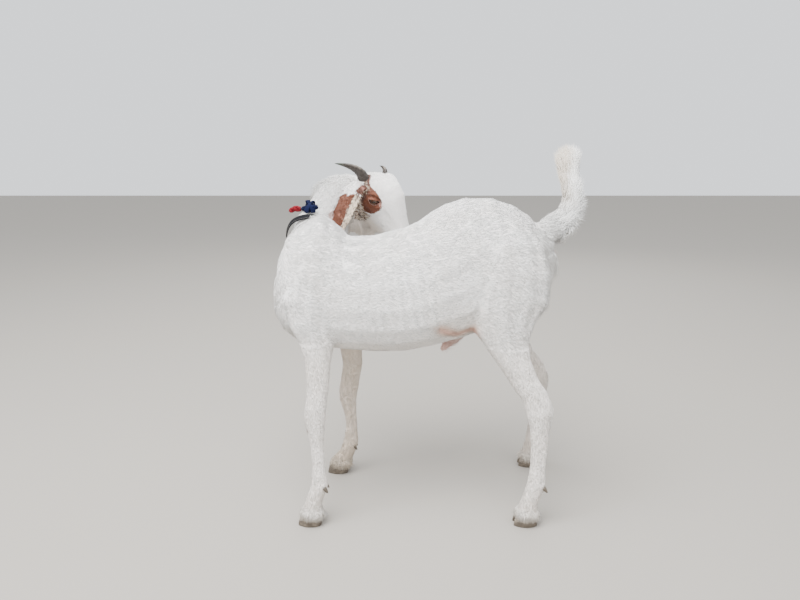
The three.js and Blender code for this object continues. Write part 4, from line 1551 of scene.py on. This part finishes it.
def lie_of_coat(flesh, normals):
    """The way the hair points: back over the body, down the legs, away from nose and eyes."""
    p, h = flesh.stance, flesh.head
    count = len(p)

    def along_line(points, places):
        path = line(places)
        return unit(on_path(path, polyline_distance(points, path)[1])[1])

    slope = 0.18 + 0.55 * smooth_step(p[:, 0], 150, 300) + 0.9 * smooth_step(-p[:, 0], 175, 290)
    slope = slope * smooth_step(690 - p[:, 2], 0, 120)
    lie = np.stack([np.ones(count), np.zeros(count), -slope], 1)
    thigh = smooth_step(p[:, 0], 318, 345)
    lie = lie + thigh[:, None] * [(-0.8, 0.0, -1.6)]
    legs = (flesh.legs * 2.5)[:, None]
    lie = lie * (1 - np.clip(legs, 0, 1)) + legs * [(0.12, 0.0, -1.0)]
    neck = flesh.neck
    lie = lie * (1 - neck[:, None]) - neck[:, None] * along_line(flesh.points, NECK_LINE)
    # On the head the hair runs back from the nose, and parts round the eyes.
    back = np.stack([-np.ones(count), np.sign(h[:, 1]) * 0.35 * smooth_step(np.abs(h[:, 1]), 0, 30),
                     -0.25 * np.ones(count)], 1)
    for eye in EYES:
        away = unit(flesh.points - eye.centre) @ HEAD_AXES.T
        near = bell(np.linalg.norm(flesh.points - eye.centre, axis=1) / MM, 30)
        back = back + 1.6 * near[:, None] * away
    back = unit(back @ HEAD_AXES)
    lie = np.where(flesh.face[:, None] > 0.5, back, lie)
    for name, (places, face) in EAR_LINES.items():
        on_ear = flesh.part[name][:, None] > 0.4
        down = along_line(flesh.points, places)
        back_edge = smooth_step(-ear_place(flesh.points, name)[1], 0.55, 0.95)[:, None]
        aside = np.cross(down, unit(face))
        aside = -aside * np.sign(aside[:, :1])
        lie = np.where(on_ear, down + 1.2 * back_edge * aside, lie)
    tail = flesh.tail * smooth_step(flesh.tail_along, 0.0, 0.2)
    behind = flesh.tail_back(normals)
    up = along_line(flesh.points, TAIL_LINE) * (1 - 1.7 * behind[:, None])
    lie = lie * (1 - tail[:, None]) + tail[:, None] * up
    for _ in range(24):
        lie = unit(lie - normals * np.sum(lie * normals, 1)[:, None])
        lie = lie + 0.9 * neighbour_mean(lie, flesh.edges, count)
    return unit(lie - normals * np.sum(lie * normals, 1)[:, None])


COAT_SEED = 41
TUFT_POINTS = 5
UV_PATCH = 0.003
# Each kind of coat: length, width, lift off the skin and density against the setting.
COATS = {
    "trunk": (13.0, 0.85, 0.05, 1.0),
    "neck": (15.0, 0.95, 0.09, 1.0),
    "face": (5.5, 0.7, 0.10, 1.8),
    "ears": (7.0, 0.8, 0.11, 1.6),
    "legs": (8.5, 0.72, 0.06, 1.1),
    "tail": (34.0, 1.3, 0.30, 4.0),
}


def hollows(flesh, normals):
    """Mean curvature of the skin, in 1/m, above 0 in a hollow; smoothed over the neighbours."""
    a, b = flesh.edges.T
    span = flesh.points[b] - flesh.points[a]
    square = np.sum(span * span, 1)
    count = len(flesh.points)
    bend = np.bincount(a, 2 * np.sum(span * normals[a], 1) / square, count)
    bend -= np.bincount(b, 2 * np.sum(span * normals[b], 1) / square, count)
    bend /= np.maximum(np.bincount(a, minlength=count) + np.bincount(b, minlength=count), 1)
    for _ in range(16):
        bend = 0.5 * bend + 0.5 * neighbour_mean(bend[:, None], flesh.edges, count)[:, 0]
    return bend


def coat_facts(flesh):
    """Length, width, lift and density of the tufts at each point, and the name of its piece."""
    p = flesh.stance
    count = len(p)
    side = np.where(p[:, 1] > 0, "right", "left")
    piece = np.where(p[:, 0] < 0, "fore_", "hind_").astype("<U12")
    piece = np.char.add(piece, side).astype("<U12")
    facts = np.repeat(np.array([COATS["trunk"]]), count, 0)

    def blend(kind, share):
        nonlocal facts
        facts = facts * (1 - share[:, None]) + np.array(COATS[kind]) * share[:, None]

    blend("neck", flesh.neck)
    piece[flesh.neck > 0.5] = "neck"
    blend("legs", np.clip(flesh.legs, 0, 1))
    piece[(flesh.legs > 0.5) & (p[:, 0] < 0)] = "legs_fore"
    piece[(flesh.legs > 0.5) & (p[:, 0] >= 0)] = "legs_hind"
    blend("face", flesh.face)
    blend("ears", flesh.ears)
    piece[flesh.face + flesh.ears > 0.5] = "head"
    tail = flesh.tail * smooth_step(flesh.tail_along, 0.05, 0.3)
    blend("tail", tail)
    piece[flesh.tail > 0.5] = "tail"
    length, width, lift, density = facts.T.copy()
    normals = flesh.normals()
    behind = flesh.tail_back(normals)
    lift += 0.25 * behind * tail
    length -= 8 * behind * tail
    # Where the coat stands out: nape, back of the thighs, hocks, heels, throat and breast.
    nape = bell(np.linalg.norm(p - (-194, 200, 752), axis=1), 36) * flesh.neck
    thigh = smooth_step(p[:, 0], 292, 330) * smooth_step(p[:, 2], 400, 520) * (1 - flesh.tail)
    hock = bell(np.linalg.norm(p - (345, -110, 262), axis=1), 26)
    hock += bell(np.linalg.norm(p - (392, 122, 262), axis=1), 26)
    breast = bell(np.linalg.norm(p - (-282, 0, 470), axis=1), 60)
    heels = np.zeros(count)
    for (fx, fy), _ in FEET.values():
        heels += bell(np.linalg.norm(p - (fx + 20, fy, 46), axis=1), 24)
    fringe = smooth_step(50 - p[:, 2], 0, 10) * np.clip(flesh.legs, 0, 1)
    belly = smooth_step(415 - p[:, 2], 0, 20) * (np.abs(p[:, 1]) < 60) * (np.abs(p[:, 0] - 10) < 200)
    width += 0.5 * fringe
    density = density * (1 + 1.6 * fringe)
    length += 9 * fringe + 22 * nape + 12 * thigh + 9 * hock + 8 * breast + 5 * heels + 6 * belly
    lift += (
        0.16 * fringe + 0.42 * nape + 0.10 * thigh + 0.22 * hock
        + 0.12 * breast + 0.12 * heels + 0.1 * belly
    )
    # Eyes, nostrils, lips and soles stay clear.
    for name in EAR_LINES:
        edge = smooth_step(-ear_place(flesh.points, name)[1], 0.6, 0.95) * flesh.part[name]
        length += 7 * edge
        width += 0.3 * edge
    for eye in EYES:
        a, b, h = eye.plane(flesh.points)
        near = np.hypot(a / 17.0, b / 11.0) + 3 * (flesh.face < 0.5)
        density = density * smooth_step(near, 0.95, 1.1)
        length = length * (1 - 0.4 * bell(near - 1, 0.5))
    h = np.stack([flesh.head[:, 0], np.abs(flesh.head[:, 1]), flesh.head[:, 2]], 1)
    nose = smooth_step(h[:, 0], 104, 116) * (h[:, 2] < 4) * (h[:, 1] < 24)
    length = length * (1 - 0.55 * nose * flesh.face)
    density = density * (1 - 0.75 * nose * flesh.face) * (1 + 1.5 * nape)
    sheath = bell(polyline_distance(p, [(98, 0, 388), (120, 0, 402)])[0], 16)
    fold = bell(polyline_distance(p, FLANK_FOLD)[0], 13)
    density = density * (1 - 0.8 * sheath) * (1 - 0.6 * fold) * (p[:, 2] > 27.5)
    # A straight tuft in a hollow would sink into the skin.
    lift += np.clip(1.2 * hollows(flesh, normals) * length * MM, 0, 0.3)
    return length, width, lift, density, piece


def tuft_mesh(roots, normals, lie, length, width, lift, rng):
    """Closed slim leaves: a root point, a three-cornered waist and a tip."""
    count = len(roots)
    side = unit(np.cross(normals, lie))
    sway = rng.normal(0, 0.16, count)[:, None]
    lie = unit(lie + side * sway)
    side = unit(np.cross(normals, lie))
    size = (length * rng.uniform(0.72, 1.25, count) * MM)[:, None]
    half = (0.5 * width * rng.uniform(0.7, 1.25, count) * MM)[:, None]
    rise = (lift * rng.uniform(0.6, 1.35, count))[:, None]
    bend = rng.normal(0, 0.06, count)[:, None]
    base = roots - normals * 0.0006
    waist = roots + lie * size * 0.4 + normals * size * rise * 0.62
    tip = roots + lie * size * (1 - 0.3 * rise**2) + normals * size * rise + side * size * bend
    crest = waist + normals * half * 0.4
    left = waist - side * half
    right = waist + side * half
    points = np.stack([base, left, crest, right, tip], 1).reshape(-1, 3)
    leaf = np.array([[0, 1, 2], [0, 2, 3], [0, 3, 1], [4, 2, 1], [4, 3, 2], [4, 1, 3]])
    faces = (np.arange(count)[:, None, None] * TUFT_POINTS + leaf[None]).reshape(-1, 3)
    return points, faces


class GOAT_OT_coat(bpy.types.Operator):
    """Grows the tufts of the coat over the skin"""

    bl_idname = "goat.coat"
    bl_label = "Coat"

    def execute(self, context):
        sizes, colours, _ = settings(context)
        skin = bpy.data.objects["skin"]
        self.unwrap(skin)
        flesh = Flesh(skin.data)
        normals = flesh.normals()
        lie = lie_of_coat(flesh, normals)
        length, width, lift, density, piece = coat_facts(flesh)
        rng = np.random.default_rng(COAT_SEED)
        faces = flesh.faces
        a, b, c = (flesh.points[faces[:, k]] for k in range(3))
        area = 0.5 * np.linalg.norm(np.cross(b - a, c - a), axis=1)
        share = area * density[faces].mean(1)
        total = int(sizes.tufts * 100 * share.sum() * (1.0))
        chosen = rng.choice(len(faces), total, p=share / share.sum())
        chosen.sort()
        u, v = rng.random(total), rng.random(total)
        flip = u + v > 1
        u[flip], v[flip] = 1 - u[flip], 1 - v[flip]
        weights = np.stack([1 - u - v, u, v], 1)
        tri = faces[chosen]

        def at(values):
            if values.ndim == 1:
                return np.sum(values[tri] * weights, 1)
            return np.einsum("nk,nkd->nd", weights, values[tri])

        roots, ways, ups = at(flesh.points), unit(at(lie)), unit(at(normals))
        ways = unit(ways - ups * np.sum(ways * ups, 1)[:, None])
        uv = self.root_uv(skin.data, chosen, weights)
        tints = rng.uniform(0.0, 0.05, total)
        recipe = coat_recipe("coat", colours, bare=False)
        names = piece[tri[:, 0]]
        for name in sorted(set(piece)):
            pick = np.nonzero(names == name)[0]
            if not len(pick):
                continue
            facts = [at(values)[pick] for values in (length, width, lift)]
            points, leaves = tuft_mesh(roots[pick], ups[pick], ways[pick], *facts, rng)
            obj = new_mesh(f"coat_{name}", points, leaves)
            part = {key: at(values)[pick] for key, values in flesh.part.items()}
            put_marks(obj, roots[pick], part, TUFT_POINTS)
            mark(obj, "tint", np.repeat(tints[pick], TUFT_POINTS))
            self.store_uv(obj.data, uv[pick])
            recipe.wear(obj)
            settle(obj)
        for name in FLESH:
            skin.data.attributes.remove(skin.data.attributes[f"part_{name}"])
        return {"FINISHED"}

    def unwrap(self, skin):
        """Lays the skin's own shape out flat, island by island."""
        skin.data.uv_layers.new(name="OFBake")
        bpy.context.view_layer.objects.active = skin
        skin.select_set(True)
        bpy.ops.object.mode_set(mode="EDIT")
        bpy.ops.mesh.select_all(action="SELECT")
        bpy.ops.uv.smart_project(angle_limit=math.radians(70), island_margin=0.001)
        bpy.ops.object.mode_set(mode="OBJECT")
        skin.select_set(False)

    def root_uv(self, mesh, chosen, weights):
        """Place of each tuft's root on the skin's unwrap."""
        flat = np.empty(len(mesh.loops) * 2, np.float32)
        mesh.uv_layers["OFBake"].data.foreach_get("uv", flat)
        flat = flat.reshape(-1, 3, 2)
        return np.einsum("nk,nkd->nd", weights, flat[chosen])

    def store_uv(self, mesh, roots):
        """Each tuft becomes a small patch at its root's place."""
        spread = np.array([[0.0, 0.5], [0.5, 0.0], [0.5, 0.5], [0.5, 1.0], [1.0, 0.5]]) - 0.5
        corners = np.clip(roots[:, None] + spread[None] * UV_PATCH, 0, 1).reshape(-1, 2)
        index = np.empty(len(mesh.loops), np.int32)
        mesh.loops.foreach_get("vertex_index", index)
        layer = mesh.uv_layers.new(name="OFBake")
        layer.data.foreach_set("uv", corners[index].astype(np.float32).ravel())


# ---------------------------------------------------------------- the stage


class GOAT_OT_stage(bpy.types.Operator):
    """Lays the floor and sets the lights and the camera"""

    bl_idname = "goat.stage"
    bl_label = "Stage"

    def execute(self, context):
        _, _, stage = settings(context)
        scene = context.scene
        floor = new_mesh(
            "floor",
            [(-9, -9, 0), (9, -9, 0), (9, 9, 0), (-9, 9, 0)],
            [(0, 1, 2, 3)],
        )
        recipe = Recipe("floor", roughness=0.9, specular_ior_level=0.2)
        recipe.set(base_color=tuple(stage.floor))
        recipe.wear(floor)
        world = bpy.data.worlds.new("studio")
        world.use_nodes = True
        world.node_tree.nodes["Background"].inputs[0].default_value = (0.93, 0.96, 1.0, 1.0)
        world.node_tree.nodes["Background"].inputs[1].default_value = stage.sky
        scene.world = world
        self.light("key", stage.key, 2.6, (-0.9, -1.2, 3.2), (0.1, 0.0, 0.4))
        self.light("fill", stage.fill, 3.0, (2.4, -2.6, 1.6), (0.0, 0.0, 0.4))
        self.light("back", stage.fill, 2.4, (0.5, 2.8, 2.2), (0.0, 0.0, 0.5))
        data = bpy.data.cameras.new("camera")
        data.lens = stage.lens
        data.sensor_width = 36.0
        camera = bpy.data.objects.new("camera", data)
        camera.location = spot(0, -1451, 870)
        camera.rotation_euler = (math.radians(76), 0, 0)
        scene.collection.objects.link(camera)
        scene.camera = camera
        return {"FINISHED"}

    def light(self, name, power, size, at, to):
        """A square lamp that looks at a place."""
        data = bpy.data.lights.new(name, "AREA")
        data.energy = power
        data.size = size
        lamp = bpy.data.objects.new(name, data)
        lamp.location = at
        lamp.rotation_euler = (Vector(to) - Vector(at)).to_track_quat("-Z", "Y").to_euler()
        bpy.context.scene.collection.objects.link(lamp)


class GOAT_PT_panel(bpy.types.Panel):
    """Lists the goat's pieces in the sidebar"""

    bl_idname = "GOAT_PT_panel"
    bl_label = "Goat"
    bl_space_type = "VIEW_3D"
    bl_region_type = "UI"
    bl_category = "Goat"

    def draw(self, context):
        column = self.layout.column()
        for step in STEPS:
            column.operator(step.bl_idname)
        for group in settings(context):
            for name in group.bl_rna.properties.keys():
                if name not in ("rna_type", "name"):
                    column.prop(group, name)


STEPS = (
    GOAT_OT_stage,
    GOAT_OT_skin,
    GOAT_OT_eyes,
    GOAT_OT_horns,
    GOAT_OT_claws,
    GOAT_OT_collar,
    GOAT_OT_coat,
)
GROUPS = {"goat_sizes": GoatSizes, "goat_colours": GoatColours, "goat_stage": GoatStage}


def register():
    for item in (*GROUPS.values(), *STEPS, GOAT_PT_panel):
        bpy.utils.register_class(item)
    for name, group in GROUPS.items():
        setattr(bpy.types.Scene, name, PointerProperty(type=group))


def unregister():
    for name in GROUPS:
        delattr(bpy.types.Scene, name)
    for item in reversed((*GROUPS.values(), *STEPS, GOAT_PT_panel)):
        bpy.utils.unregister_class(item)


def main():
    register()
    for step in STEPS:
        group, name = step.bl_idname.split(".")
        getattr(getattr(bpy.ops, group), name)()
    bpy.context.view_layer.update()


if __name__ == "__main__":
    main()
